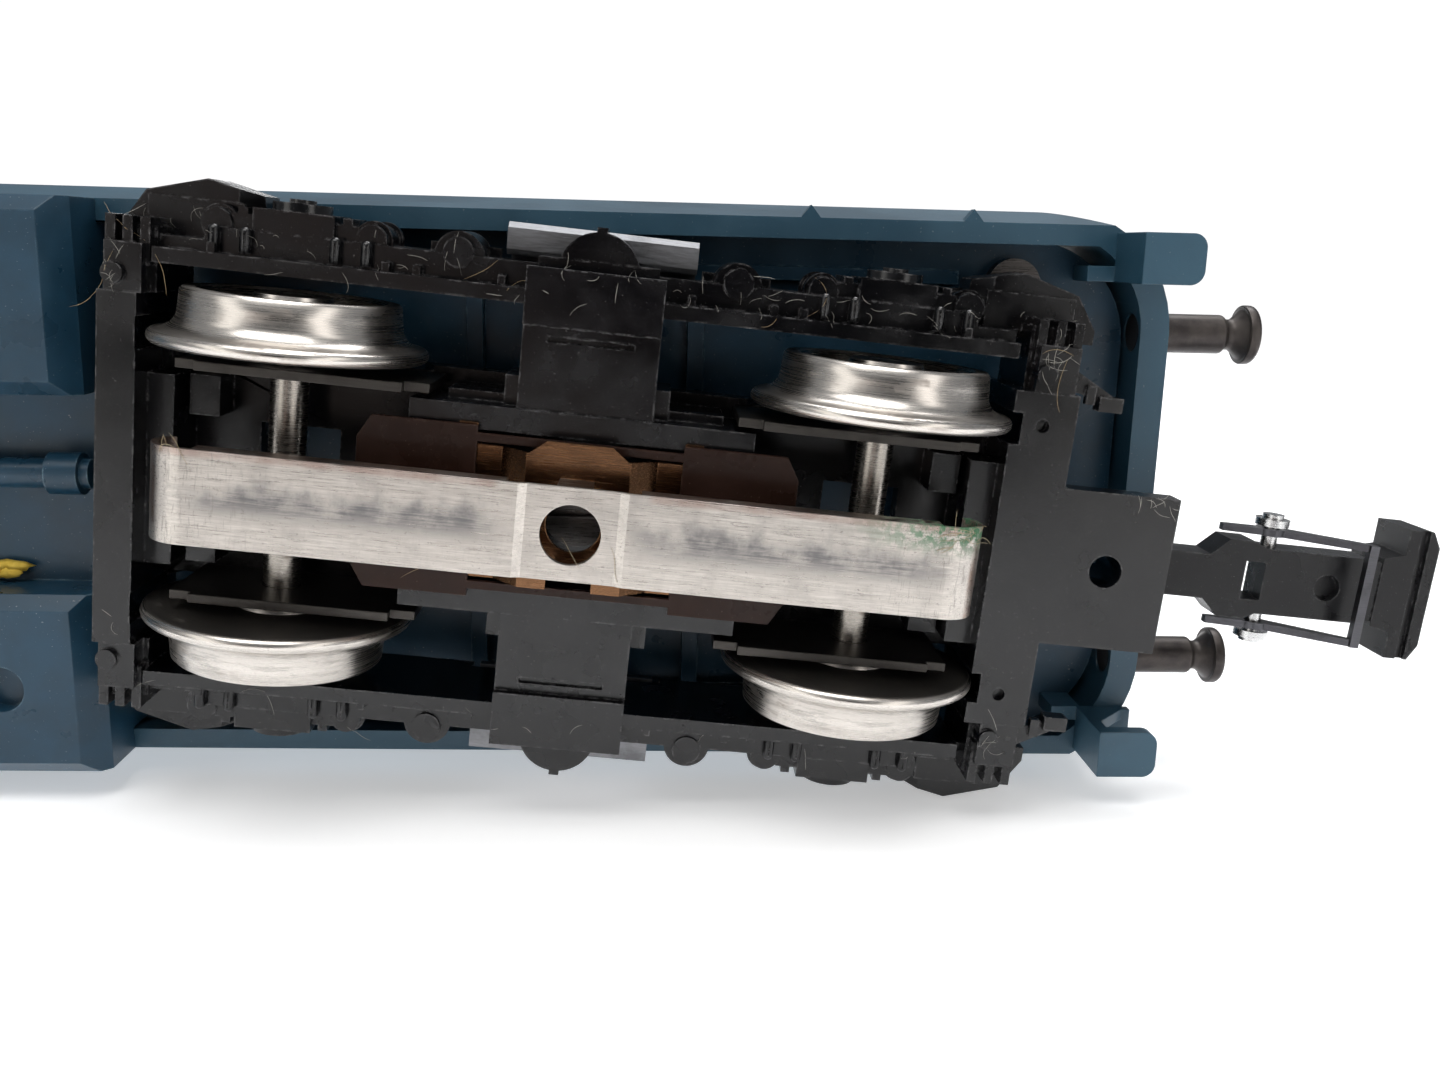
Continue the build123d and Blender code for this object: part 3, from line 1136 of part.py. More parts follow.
def corner_steps():
    """Body-coloured footsteps below each corner of the body."""
    x0 = STEP_X
    y0 = BODY_HALF_Y - 4.0
    y1 = BODY_HALF_Y - 1.2
    tread = block(x0, x0 + 3.5, y0, y1, TANK_BOTTOM - 0.1, TANK_BOTTOM + 0.9)
    tread = fillet(tread.edges().filter_by(Axis.Z).sort_by(Axis.X)[-2:], 0.8)
    web = [(x0, BODY_BOTTOM), (x0, 9.6), (x0 + 0.8, 9.6), (x0 + 3.2, BODY_BOTTOM)]
    pieces = [
        tread,
        block(x0, x0 + 0.7, y0, y1, TANK_BOTTOM, BODY_BOTTOM),
        prism_y(web, y0, y0 + 0.7),
        block(x0, x0 + 3.2, y0, y0 + 1.4, BODY_BOTTOM - 0.6, BODY_BOTTOM),
        block(x0 - 1.6, x0 + 0.2, y0, y0 + 0.9, BODY_BOTTOM - 0.1, DECK_Z),
    ]
    made = []
    for step in both_sides(join(pieces)):
        made += both_ends(step)
    return made


# ---------------------------------------------------------------- underframe and tank


def underframe():
    """Deck with the motor well, the trailing pivot boss and the motor bogie's bridge."""
    deck_plan = RectangleRounded(2 * DECK_HALF_X, 2 * DECK_HALF_Y, DECK_CORNER_R)
    deck = Pos(0, 0, DECK_Z) * extrude(deck_plan, amount=DECK_T)
    well = block(-PIVOT_X - MOTOR_WELL_X, -PIVOT_X + MOTOR_WELL_X, -MOTOR_WELL_Y, MOTOR_WELL_Y, 10, 20)
    deck -= well
    pieces = [deck, rod_z(3.2, PIVOT_X, 0, FLOOR_TOP + 1.0 + GAP, DECK_Z)]
    bridge_top = BRIDGE_Z + BRIDGE_T
    leg_y = MOTOR_WELL_Y + 1.6
    for x in (-PIVOT_X - 15.4, -PIVOT_X + 15.4):
        for side in (1, -1):
            pieces.append(block(x - 1.2, x + 1.2, side * MOTOR_WELL_Y, side * leg_y, DECK_Z, BRIDGE_Z))
        pieces.append(block(x - 1.2, x + 1.2, -leg_y, leg_y, BRIDGE_Z, bridge_top))
    pieces.append(block(-PIVOT_X - 16.6, -PIVOT_X + 16.6, -5.5, 5.5, BRIDGE_Z, bridge_top))
    for side in (1, -1):
        pieces.append(block(PIVOT_X - 25, PIVOT_X + 22, side * 12.6, side * 13.4, DECK_Z - 0.8, DECK_Z))
        pieces.append(block(PIVOT_X - 7, PIVOT_X - 6, -12.6, 12.6, DECK_Z - 0.8, DECK_Z))
        pieces.append(block(PIVOT_X + 6, PIVOT_X + 7, -12.6, 12.6, DECK_Z - 0.8, DECK_Z))
    frame = join(pieces)
    frame -= rod_z(SCREW_R, PIVOT_X, 0, 5, DECK_TOP + 1)
    frame -= rod_z(RING_R + FIT, -PIVOT_X, 0, BRIDGE_Z - 1, BRIDGE_Z + BRIDGE_T + 1)
    for x, y in SHELL_SCREWS:
        frame -= rod_z(SHELL_SCREW_R + 2 * FIT, x, y, DECK_Z - 1, DECK_TOP + 1)
    return frame


def fuel_tank():
    """The tank between the bogies: two side boxes, a raised floor and bevelled ends."""
    made = []
    half = TANK_HALF_X
    outline = [(-half, DECK_Z), (-half, TANK_BOTTOM + 1.3), (-half + 1.3, TANK_BOTTOM),
               (half - 1.3, TANK_BOTTOM), (half, TANK_BOTTOM + 1.3), (half, DECK_Z)]
    for side in (1, -1):
        box = prism_y(outline, min(side * 5.6, side * 16.2), max(side * 5.6, side * 16.2))
        edges = box.edges().filter_by(Axis.X)
        low = edges.sort_by(Axis.Z)[:2]
        made.append(chamfer(low, 0.8))
    floor = block(-half, half, -5.7, 5.7, 11.6, DECK_Z)
    rib = [block(x - 0.5, x + 0.5, -5.7, 5.7, 9.0, 11.7) for x in (-12.0, 0.0, 12.0)]
    tank = join(made + [floor] + rib)
    for side in (1, -1):
        tank -= block(-half - 1, half + 1, side * TANK_TOP_HALF_Y, side * 20, BODY_BOTTOM - FIT, DECK_Z + 1)
        tank -= block(-14, 14, side * 16.5, side * 15.9, 9.0, 11.4)
    for x in (-12.0, 0.0, 12.0):
        tank -= rod_x(0.85, PIPE_Y, PIPE_Z, x - 1, x + 1)
    for side in (1, -1):
        for x in (-17.0, 17.0):
            tank -= rod_z(1.3, x, side * 11.0, TANK_BOTTOM - 1, TANK_BOTTOM + 1.1)
    return tank


def brake_pipe():
    """The air pipe with its collars, held by the ribs of the tank floor."""
    pipe = rod_x(0.85, PIPE_Y, PIPE_Z, -TANK_HALF_X + 0.4, TANK_HALF_X - 0.4)
    for x in (-20.6, -6.0, 6.0, 20.6):
        pipe += rod_x(1.2, PIPE_Y, PIPE_Z, x - 0.9, x + 0.9)
    return pipe


def body_screws():
    """Four screws that hold the shell on the underframe."""
    made = []
    for x, y in SHELL_SCREWS:
        head = rod_z(1.6, x, y, DECK_Z - 1.0, DECK_Z)
        head -= block(x - 1.7, x + 1.7, y - 0.2, y + 0.2, DECK_Z - 1.1, DECK_Z - 0.6)
        made.append(head + rod_z(SHELL_SCREW_R, x, y, DECK_Z - 0.1, SCREW_TIP_Z))
    return made


# ---------------------------------------------------------------- inside the body


def ballast_weight():
    """The cast weight on the deck, with posts for the circuit board."""
    weight = block(BALLAST_X0, BALLAST_X1, -12.6, 12.6, DECK_TOP, BALLAST_TOP)
    weight = chamfer(weight.edges().filter_by(Axis.X).sort_by(Axis.Z)[-2:], 1.5)
    weight -= block(24, 46, -4, 4, BALLAST_TOP - 5, BALLAST_TOP + 1)
    for x in (-12.0, 52.0):
        for side in (1, -1):
            weight += rod_z(1.4, x, side * 6.5, BALLAST_TOP - 0.5, BOARD_Z)
    return weight


def circuit_board():
    """The board that joins shoe, motor and lamps."""
    board = block(-16, 56, -8.6, 8.6, BOARD_Z, BOARD_Z + 1.0)
    for x in (-12.0, 52.0):
        for side in (1, -1):
            board -= rod_z(0.8, x, side * 6.5, BOARD_Z - 1, BOARD_Z + 2)
    return board


def board_components():
    """Relay, choke, capacitors, diodes and solder posts on the board."""
    z = BOARD_Z + 1.0
    made = [
        block(30, 42, -5, 5, z, z + 5.0),
        rod_x(1.9, 5.0, z + 1.9, 2, 12),
        rod_z(2.4, 18, -3.6, z, z + 5.5),
        rod_z(1.8, 24, 3.6, z, z + 4.2),
    ]
    for y in (-6.4, -4.2, -2.0):
        made.append(rod_x(0.8, y, z + 0.8, 2, 7) + rod_x(0.3, y, z + 0.8, 0.4, 8.6))
    for y in (-6, -3, 0, 3, 6):
        made.append(block(-14.6, -13.4, y - 0.6, y + 0.6, z, z + 1.8))
    return made


def lamp_sockets():
    """Brass lamp holders on the deck behind each cab front."""
    made = []
    holder = block(LAMP_X - 3.4, LAMP_X - 0.4, -3.0, 3.0, DECK_TOP, 23.0)
    holder += rod_x(2.0, 0, LAMP_Z, LAMP_X - 0.5, LAMP_X + 1.5)
    holder -= rod_x(1.2, 0, LAMP_Z, LAMP_X - 1.5, LAMP_X + 2)
    made += both_ends(holder)
    return made


def lamp_bulbs():
    """Small filament lamps in the sockets."""
    bulb = rod_x(1.2, 0, LAMP_Z, LAMP_X - 1.5, LAMP_X + 1.5)
    bulb += rod_x(1.9, 0, LAMP_Z, LAMP_X + 1.5, LAMP_X + 4.0)
    bulb += Pos(LAMP_X + 4.0, 0, LAMP_Z) * Sphere(1.9)
    return both_ends(bulb)


def light_guides():
    """Clear guides that lead the lamp light to the two low headlights."""
    x1 = BODY_HALF_X - FRONT_WALL - 0.05
    guide = block(x1 - 4.6, x1 - 2.2, -LAMP_Y - 1.2, LAMP_Y + 1.2, LAMP_Z - 1.2, LAMP_Z + 1.2)
    for side in (1, -1):
        guide += rod_x(1.2, side * LAMP_Y, LAMP_Z, x1 - 2.4, x1)
    guide += block(x1 - 4.6, x1 - 3.4, -1.2, 1.2, DECK_TOP, LAMP_Z)
    return both_ends(guide)


def cab_consoles():
    """Cab floor on its legs, with desk and seats, one at each end."""
    z = 25.2
    x1 = BODY_HALF_X - FRONT_WALL - 1.0
    x0 = x1 - 14.4
    half_floor = [(x0, 14.8), (x1 - 4.4, 14.8), (x1, 11.4)]
    floor = [(x, -y) for x, y in half_floor] + [(x, y) for x, y in reversed(half_floor)]
    cab = prism_z(floor, z - 1.2, z)
    for side in (1, -1):
        cab += block(x0, x0 + 1.6, side * 14.8, side * 10.8, DECK_TOP, z - 1.2)
        cab += block(x0 + 2.6, x0 + 5.8, side * 9.6, side * 6.0, z, z + 2.6)
        cab += block(x0 + 1.8, x0 + 2.8, side * 9.6, side * 6.0, z, z + 6.6)
    desk = [(-7.2, 0), (0, 0), (0, 2.4), (-1.6, 4.6), (-4.4, 4.6), (-7.2, 3.6)]
    cab += prism_y([(x1 + x, z + up) for x, up in desk], -11.4, 11.4)
    return both_ends(cab)


# ---------------------------------------------------------------- write the nodes
def write_body():
    save("body_shell", body_shell())
    save("windscreens", windscreens())
    save("side_windows", side_windows())
    save("side_grilles", side_grilles())
    save("roof_grille", roof_grille())
    save("radiator_fan", radiator_fan())
    save("exhaust_stack", exhaust_stack())
    save("roof_horns", roof_horns())
    save("handrails", handrails())
    save("headlight_lenses", headlight_lenses())
    save("wipers", wipers())
    save("buffers", buffers())
    save("corner_steps", corner_steps())
    save("underframe", underframe())
    save("fuel_tank", fuel_tank())
    save("brake_pipe", brake_pipe())
    save("ballast_weight", ballast_weight())
    save("circuit_board", circuit_board())
    save("board_components", board_components())
    save("lamp_bulbs", lamp_bulbs())
    save("lamp_sockets", lamp_sockets())
    save("light_guides", light_guides())
    save("body_screws", body_screws())
    save("cab_consoles", cab_consoles())
    screw, cap = pivot_screws()
    save("pivot_screws", [screw, Pos(-PIVOT_X, 0, 0) * cap])


def write_trailing_bogie():
    save("trailing_frame", trailing_frame(), TRAILING)
    save("trailing_side_frames", both_sides(side_frame()), TRAILING)
    save("trailing_bolster", bolster(), TRAILING)
    save("trailing_bearings", bearing_plates(), TRAILING)
    save("insulating_plate", insulating_plate(), TRAILING)
    save("leaf_spring", leaf_spring(), TRAILING)
    save("pickup_shoe", pickup_shoe(), TRAILING)
    for name, side in (("outer", 1), ("inner", -1)):
        save(f"trailing_axle_{name}", at_axle(axle(), side), TRAILING)
        save(f"trailing_wheels_{name}", [at_axle(w, side) for w in both_sides(wheel())], TRAILING)


def write_motor_bogie():
    save("motor_frame", motor_frame(), DRIVING)
    save("motor_side_frames", both_sides(side_frame()), DRIVING)
    save("field_magnet", field_magnet(), DRIVING)
    at_armature = Pos(0, 0, ARMATURE_Z)
    pinion = gear(PINION_TEETH, SHAFT_R, PINION_PHASE, GEAR_Y, GEAR_Y + GEAR_T)
    save("armature", at_armature * armature(), DRIVING)
    save("armature_windings", group(armature_windings()), DRIVING * at_armature)
    save("commutator", at_armature * commutator(), DRIVING)
    save("armature_pinion", at_armature * pinion, DRIVING)
    save("brush_plate", brush_plate(), DRIVING)
    save("carbon_brushes", carbon_brushes(), DRIVING)
    save("brush_springs", brush_springs(), DRIVING)
    save("idler_pins", idler_pins(), DRIVING)
    for name, side in (("outer", 1), ("inner", -1)):
        save(f"idler_gear_{name}", idler_gear(side), DRIVING)
        save(f"drive_axle_{name}", at_axle(axle(), side), DRIVING)
        save(f"drive_wheels_{name}", driving_wheels(side), DRIVING)
    save("traction_tyres", [at_axle(ring, 1) for ring in both_sides(tyre())], DRIVING)


def write_couplers():
    for name, place in (("front", TRAILING), ("rear", DRIVING)):
        save(f"{name}_coupler", coupler(), place)
        save(f"{name}_coupler_pin", coupler_pin(), place)
        save(f"{name}_coupler_bail", coupler_bail(), place)


write_body()
write_trailing_bogie()
write_motor_bogie()
write_couplers()
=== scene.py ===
import json
import math
import random

import bpy
from mathutils import Matrix, Vector
from mathutils.bvhtree import BVHTree


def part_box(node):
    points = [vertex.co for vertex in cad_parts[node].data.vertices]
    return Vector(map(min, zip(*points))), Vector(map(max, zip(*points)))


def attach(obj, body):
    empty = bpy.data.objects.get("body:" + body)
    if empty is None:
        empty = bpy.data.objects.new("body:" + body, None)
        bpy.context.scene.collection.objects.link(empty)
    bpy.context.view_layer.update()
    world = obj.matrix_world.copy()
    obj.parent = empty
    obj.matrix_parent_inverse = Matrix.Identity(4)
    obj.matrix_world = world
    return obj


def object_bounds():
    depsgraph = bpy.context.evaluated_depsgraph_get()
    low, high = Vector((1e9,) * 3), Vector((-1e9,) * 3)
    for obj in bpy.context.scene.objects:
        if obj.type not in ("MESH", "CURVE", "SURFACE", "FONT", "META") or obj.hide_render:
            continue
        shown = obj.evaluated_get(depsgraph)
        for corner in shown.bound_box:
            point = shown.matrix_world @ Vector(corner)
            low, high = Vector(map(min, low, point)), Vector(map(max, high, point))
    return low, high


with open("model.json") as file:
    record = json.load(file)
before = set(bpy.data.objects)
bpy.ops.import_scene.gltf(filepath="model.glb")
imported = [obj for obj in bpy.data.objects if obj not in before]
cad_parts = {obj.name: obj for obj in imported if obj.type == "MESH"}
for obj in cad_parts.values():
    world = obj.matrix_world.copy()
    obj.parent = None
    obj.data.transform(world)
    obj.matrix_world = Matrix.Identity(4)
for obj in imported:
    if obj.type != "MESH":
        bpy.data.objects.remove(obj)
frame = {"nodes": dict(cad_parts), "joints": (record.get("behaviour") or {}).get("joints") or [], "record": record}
cad_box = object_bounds()

MM = 0.001
NODES = frame["nodes"]
JOINTS = {joint["name"]: joint for joint in frame["joints"]}
BODIES = frame["record"]["behaviour"]["bodies"]
SLOTS = {part["node"]: part["material_slot"] for part in frame["record"]["subparts"]}


def axle_place(joint, centre=None):
    """A frame with Y along the axle of a joint, at the joint's own place or at centre."""
    along = JOINTS[joint]["axis"]
    turn = math.atan2(-along[0], along[1])
    place = Vector(JOINTS[joint]["pos_m"]) if centre is None else centre
    return Matrix.Translation(place) @ Matrix.Rotation(turn, 4, "Z")


# The trailing bogie's own frame: its pivot at track level, turned as the bogie rests.
PIVOT = Vector(JOINTS["trailing_bogie_swivel"]["pos_m"])
PIVOT.z = 0.0
BOGIE = axle_place("trailing_wheels_outer_spin", PIVOT)


# ---------------------------------------------------------------- camera and stage

# The camera's place and target are in millimetres from the trailing bogie's pivot.
CAMERA_AT = Vector((4.391, -14.324, -65.179))
CAMERA_LOOKS_AT = Vector((7.948, 1.256, 5.0))
CAMERA_UP = Vector((0, -1, 0))
CAMERA_ROLL = math.radians(1.4827)
CAMERA_LENS = 32.95
CAMERA_SENSOR = 36.0
CAMERA_CLIP = (0.002, 20.0)

# The table and the floor, in metres: how far they reach, and their gap to the loco.
TABLE_X = (-0.30, 0.40)
TABLE_Z = (-0.10, 0.40)
TABLE_GAP = 0.0004
TABLE_GLOW = 0.40
FLOOR_REACH = 3.0
FLOOR_GAP = 0.0002
FLOOR_GLOW = 0.85
STAGE_PALE = (0.88, 0.885, 0.9, 1)

# The surround: what the camera sees, and the room that lights the loco. The room darkens
# towards one side, from one cosine of the angle to that side up to another.
SURROUND_WHITE = (1, 1, 1, 1)
SURROUND_STRENGTH = 1.05
ROOM_STRENGTH = 0.24
ROOM_PALE = (0.93, 0.96, 1.0, 1)
ROOM_DARK = (0.05, 0.05, 0.05, 1)
ROOM_DARK_TOWARDS = Vector((0.1, 0.12, -1.0)).normalized()
ROOM_DARK_FROM = 0.72
ROOM_DARK_FULL = 0.97

# Each lamp: name, place, target, width, height, power and colour, in metres and watts.
WHITE = (1.0, 1.0, 1.0)
LAMP_UP = Vector((0.01, 0.3, 1))
BOGIE_AIM = (0.05, 0, 0.005)
BODY_AIM = (0, 0, 0.03)
FAR_TABLE = (0.17, 0, 0.24)
LAMPS = (
    ("key", (0.02, -0.34, -0.12), BOGIE_AIM, 0.30, 0.22, 0.9, (1.0, 0.99, 0.97)),
    ("strip_left", (-0.17, 0.0, -0.24), BOGIE_AIM, 0.75, 0.13, 0.42, (1.0, 0.98, 0.93)),
    ("strip_warm", (-0.035, 0.0, -0.31), BOGIE_AIM, 0.30, 0.04, 0.02, (1.0, 0.80, 0.72)),
    ("strip_right", (0.23, 0.0, -0.24), BOGIE_AIM, 0.75, 0.10, 0.40, (1.0, 0.97, 0.93)),
    ("top", (0.0, 0.14, 0.45), BODY_AIM, 0.5, 0.4, 2.4, WHITE),
    ("table_wash", (0.15, -0.55, 0.30), FAR_TABLE, 0.4, 0.3, 2.6, WHITE),
    ("back", (-0.15, 0.45, 0.25), BODY_AIM, 0.4, 0.3, 1.6, WHITE),
)


def aimed(position, target, up, roll=0.0):
    """The matrix of a camera or lamp at position that looks at target."""
    back = (position - target).normalized()
    right = up.cross(back).normalized()
    over = back.cross(right)
    turned = Matrix((right, over, back)).transposed().to_4x4()
    return Matrix.Translation(position) @ turned @ Matrix.Rotation(roll, 4, "Z")


def add_object(name, data):
    thing = bpy.data.objects.new(name, data)
    bpy.context.collection.objects.link(thing)
    return thing


def make_camera():
    data = bpy.data.cameras.new("photo_camera")
    data.lens = CAMERA_LENS
    data.sensor_width = CAMERA_SENSOR
    data.clip_start, data.clip_end = CAMERA_CLIP
    camera = add_object("photo_camera", data)
    place = PIVOT + CAMERA_AT * MM
    target = PIVOT + CAMERA_LOOKS_AT * MM
    camera.matrix_world = aimed(place, target, CAMERA_UP, CAMERA_ROLL)
    bpy.context.scene.camera = camera


def make_lamp(name, place, target, width, height, power, colour):
    data = bpy.data.lights.new(name, "AREA")
    data.shape = "RECTANGLE"
    data.size = width
    data.size_y = height
    data.energy = power
    data.color = colour
    lamp = add_object(name, data)
    lamp.matrix_world = aimed(Vector(place), Vector(target), LAMP_UP)
    lamp.visible_camera = False


def stage_plane(name, corners, solid_to, glow):
    """A bright pale plane, seen from its front only.

    It stops the camera's rays and the kinds of ray listed in solid_to.
    """
    mesh = bpy.data.meshes.new(name)
    mesh.from_pydata(corners, [], [(0, 1, 2, 3)])
    plane = add_object(name, mesh)
    material = bpy.data.materials.new(name)
    material.use_nodes = True
    tree = material.node_tree
    tree.nodes.clear()
    out = tree.nodes.new("ShaderNodeOutputMaterial")
    mixer = tree.nodes.new("ShaderNodeMixShader")
    clear = tree.nodes.new("ShaderNodeBsdfTransparent")
    pale = tree.nodes.new("ShaderNodeBsdfPrincipled")
    pale.inputs["Base Color"].default_value = STAGE_PALE
    pale.inputs["Roughness"].default_value = 1.0
    pale.inputs["Specular IOR Level"].default_value = 0.0
    pale.inputs["Emission Color"].default_value = (1.0, 1.0, 1.0, 1)
    pale.inputs["Emission Strength"].default_value = glow
    facing = tree.nodes.new("ShaderNodeNewGeometry")
    path = tree.nodes.new("ShaderNodeLightPath")
    stopped = path.outputs["Is Camera Ray"]
    for kind in solid_to:
        both = tree.nodes.new("ShaderNodeMath")
        both.operation = "MAXIMUM"
        tree.links.new(stopped, both.inputs[0])
        tree.links.new(path.outputs[kind], both.inputs[1])
        stopped = both.outputs[0]
    front = tree.nodes.new("ShaderNodeMath")
    front.operation = "SUBTRACT"
    front.use_clamp = True
    tree.links.new(stopped, front.inputs[0])
    tree.links.new(facing.outputs["Backfacing"], front.inputs[1])
    tree.links.new(front.outputs[0], mixer.inputs[0])
    tree.links.new(clear.outputs[0], mixer.inputs[1])
    tree.links.new(pale.outputs[0], mixer.inputs[2])
    tree.links.new(mixer.outputs[0], out.inputs["Surface"])
    mesh.materials.append(material)


def make_stage():
    """The table that the loco's side rests on, and a floor under its wheels."""
    low, high = cad_box
    left, right = TABLE_X
    near, far = TABLE_Z
    table = high.y + TABLE_GAP
    corners = [(left, table, near), (right, table, near), (right, table, far), (left, table, far)]
    stage_plane("table", corners, ["Is Diffuse Ray", "Is Glossy Ray"], TABLE_GLOW)
    reach = FLOOR_REACH
    floor = low.z - FLOOR_GAP
    corners = [(-reach, -reach, floor), (reach, -reach, floor),
               (reach, reach, floor), (-reach, reach, floor)]
    stage_plane("floor", corners, [], FLOOR_GLOW)


def make_world():
    """A surround that is white to the camera.

    The room that lights the loco is softer, and darker where a photographer would stand.
    """
    world = bpy.data.worlds.new("surround")
    bpy.context.scene.world = world
    world.use_nodes = True
    tree = world.node_tree
    tree.nodes.clear()
    out = tree.nodes.new("ShaderNodeOutputWorld")
    mixer = tree.nodes.new("ShaderNodeMixShader")
    path = tree.nodes.new("ShaderNodeLightPath")
    white = tree.nodes.new("ShaderNodeBackground")
    white.inputs["Color"].default_value = SURROUND_WHITE
    white.inputs["Strength"].default_value = SURROUND_STRENGTH
    room = tree.nodes.new("ShaderNodeBackground")
    room.inputs["Strength"].default_value = ROOM_STRENGTH
    where = tree.nodes.new("ShaderNodeTexCoord")
    towards = tree.nodes.new("ShaderNodeVectorMath")
    towards.operation = "DOT_PRODUCT"
    towards.inputs[1].default_value = ROOM_DARK_TOWARDS
    shade = tree.nodes.new("ShaderNodeValToRGB")
    pale, dark = shade.color_ramp.elements
    pale.position = ROOM_DARK_FROM
    pale.color = ROOM_PALE
    dark.position = ROOM_DARK_FULL
    dark.color = ROOM_DARK
    tree.links.new(where.outputs["Generated"], towards.inputs[0])
    tree.links.new(towards.outputs["Value"], shade.inputs[0])
    tree.links.new(shade.outputs[0], room.inputs["Color"])
    tree.links.new(path.outputs["Is Camera Ray"], mixer.inputs[0])
    tree.links.new(room.outputs[0], mixer.inputs[1])
    tree.links.new(white.outputs[0], mixer.inputs[2])
    tree.links.new(mixer.outputs[0], out.inputs["Surface"])
    view = bpy.context.scene.view_settings
    view.view_transform = "Standard"
    view.look = "None"


# ---------------------------------------------------------------- kinds of material

def scaled(colour, factor):
    return [channel * factor for channel in colour]


class Finish:
    """One procedural material: short calls add nodes and return their output sockets."""

    def __init__(self, name, **constants):
        self.material = bpy.data.materials.new(name)
        self.material.use_nodes = True
        self.tree = self.material.node_tree
        self.shader = self.tree.nodes["Principled BSDF"]
        for socket, value in constants.items():
            self.shader.inputs[socket.replace("_", " ")].default_value = value

    def put(self, socket, value):
        """Links value to socket if it is an output socket, or else sets the socket to it."""
        if isinstance(value, bpy.types.NodeSocket):
            self.tree.links.new(value, socket)
        else:
            socket.default_value = value

    def place(self, matrix=None, stretch=None):
        """Object coordinates, in millimetres, seen from the frame that matrix gives."""
        where = self.tree.nodes.new("ShaderNodeTexCoord").outputs["Object"]
        mapping = self.tree.nodes.new("ShaderNodeMapping")
        back = (matrix or Matrix.Identity(4)).inverted()
        mapping.inputs["Rotation"].default_value = back.to_euler()
        mapping.inputs["Scale"].default_value = (1 / MM, 1 / MM, 1 / MM)
        mapping.inputs["Location"].default_value = back.to_translation() / MM
        self.tree.links.new(where, mapping.inputs["Vector"])
        if stretch is None:
            return mapping.outputs[0]
        return self.vector("MULTIPLY", mapping.outputs[0], stretch)

    def vector(self, operation, a, b):
        node = self.tree.nodes.new("ShaderNodeVectorMath")
        node.operation = operation
        self.put(node.inputs[0], a)
        self.put(node.inputs[1], b)
        return node.outputs["Value" if operation == "DOT_PRODUCT" else "Vector"]

    def maths(self, operation, a, b=0.0):
        node = self.tree.nodes.new("ShaderNodeMath")
        node.operation = operation
        self.put(node.inputs[0], a)
        self.put(node.inputs[1], b)
        return node.outputs[0]

    def times(self, a, b):
        return self.maths("MULTIPLY", a, b)

    def plus(self, a, b):
        return self.maths("ADD", a, b)

    def axes(self, vector):
        """The X, Y and Z of vector."""
        node = self.tree.nodes.new("ShaderNodeSeparateXYZ")
        self.tree.links.new(vector, node.inputs[0])
        return node.outputs

    def join(self, x, y, z):
        node = self.tree.nodes.new("ShaderNodeCombineXYZ")
        for socket, value in zip(node.inputs, (x, y, z)):
            self.put(socket, value)
        return node.outputs[0]

    def noise(self, vector, scale, detail=3.0, rough=0.55, warp=0.0):
        node = self.tree.nodes.new("ShaderNodeTexNoise")
        self.tree.links.new(vector, node.inputs["Vector"])
        node.inputs["Scale"].default_value = scale
        node.inputs["Detail"].default_value = detail
        node.inputs["Roughness"].default_value = rough
        node.inputs["Distortion"].default_value = warp
        return node.outputs["Fac"]

    def span(self, value, low, high, to_low=0.0, to_high=1.0):
        """value mapped smoothly from low..high to to_low..to_high."""
        node = self.tree.nodes.new("ShaderNodeMapRange")
        node.interpolation_type = "SMOOTHSTEP"
        self.put(node.inputs["Value"], value)
        node.inputs["From Min"].default_value = low
        node.inputs["From Max"].default_value = high
        node.inputs["To Min"].default_value = to_low
        node.inputs["To Max"].default_value = to_high
        return node.outputs["Result"]

    def between(self, value, low, high, soft):
        """1 where value lies between low and high, falling to 0 over soft."""
        rise = self.span(value, low - soft, low + soft)
        fall = self.span(value, high - soft, high + soft, 1.0, 0.0)
        return self.times(rise, fall)

    def mix(self, factor, a, b):
        node = self.tree.nodes.new("ShaderNodeMix")
        node.data_type = "RGBA"
        node.clamp_factor = True
        self.put(node.inputs[0], factor)
        for socket, colour in ((node.inputs[6], a), (node.inputs[7], b)):
            self.put(socket, colour if isinstance(colour, bpy.types.NodeSocket) else (*colour, 1))
        return node.outputs[2]

    def lay(self, under, colour, mask, strength):
        """colour laid over under where mask is 1, as strongly as strength says."""
        return self.mix(self.times(mask, strength), under, colour)

    def edges(self, radius, low=0.02, high=0.25):
        """1 on convex and concave edges, 0 on flats."""
        bevel = self.tree.nodes.new("ShaderNodeBevel")
        bevel.samples = 4
        bevel.inputs["Radius"].default_value = radius * MM
        flat = self.tree.nodes.new("ShaderNodeNewGeometry").outputs["Normal"]
        along = self.vector("DOT_PRODUCT", bevel.outputs[0], flat)
        return self.span(self.maths("SUBTRACT", 1.0, along), low, high)

    def bump(self, height, strength, distance):
        node = self.tree.nodes.new("ShaderNodeBump")
        node.inputs["Strength"].default_value = strength
        node.inputs["Distance"].default_value = distance * MM
        self.tree.links.new(height, node.inputs["Height"])
        self.tree.links.new(node.outputs[0], self.shader.inputs["Normal"])

    def colour(self, value):
        self.tree.links.new(value, self.shader.inputs["Base Color"])

    def rough(self, value):
        self.tree.links.new(value, self.shader.inputs["Roughness"])

    def metallic(self, value):
        self.tree.links.new(value, self.shader.inputs["Metallic"])


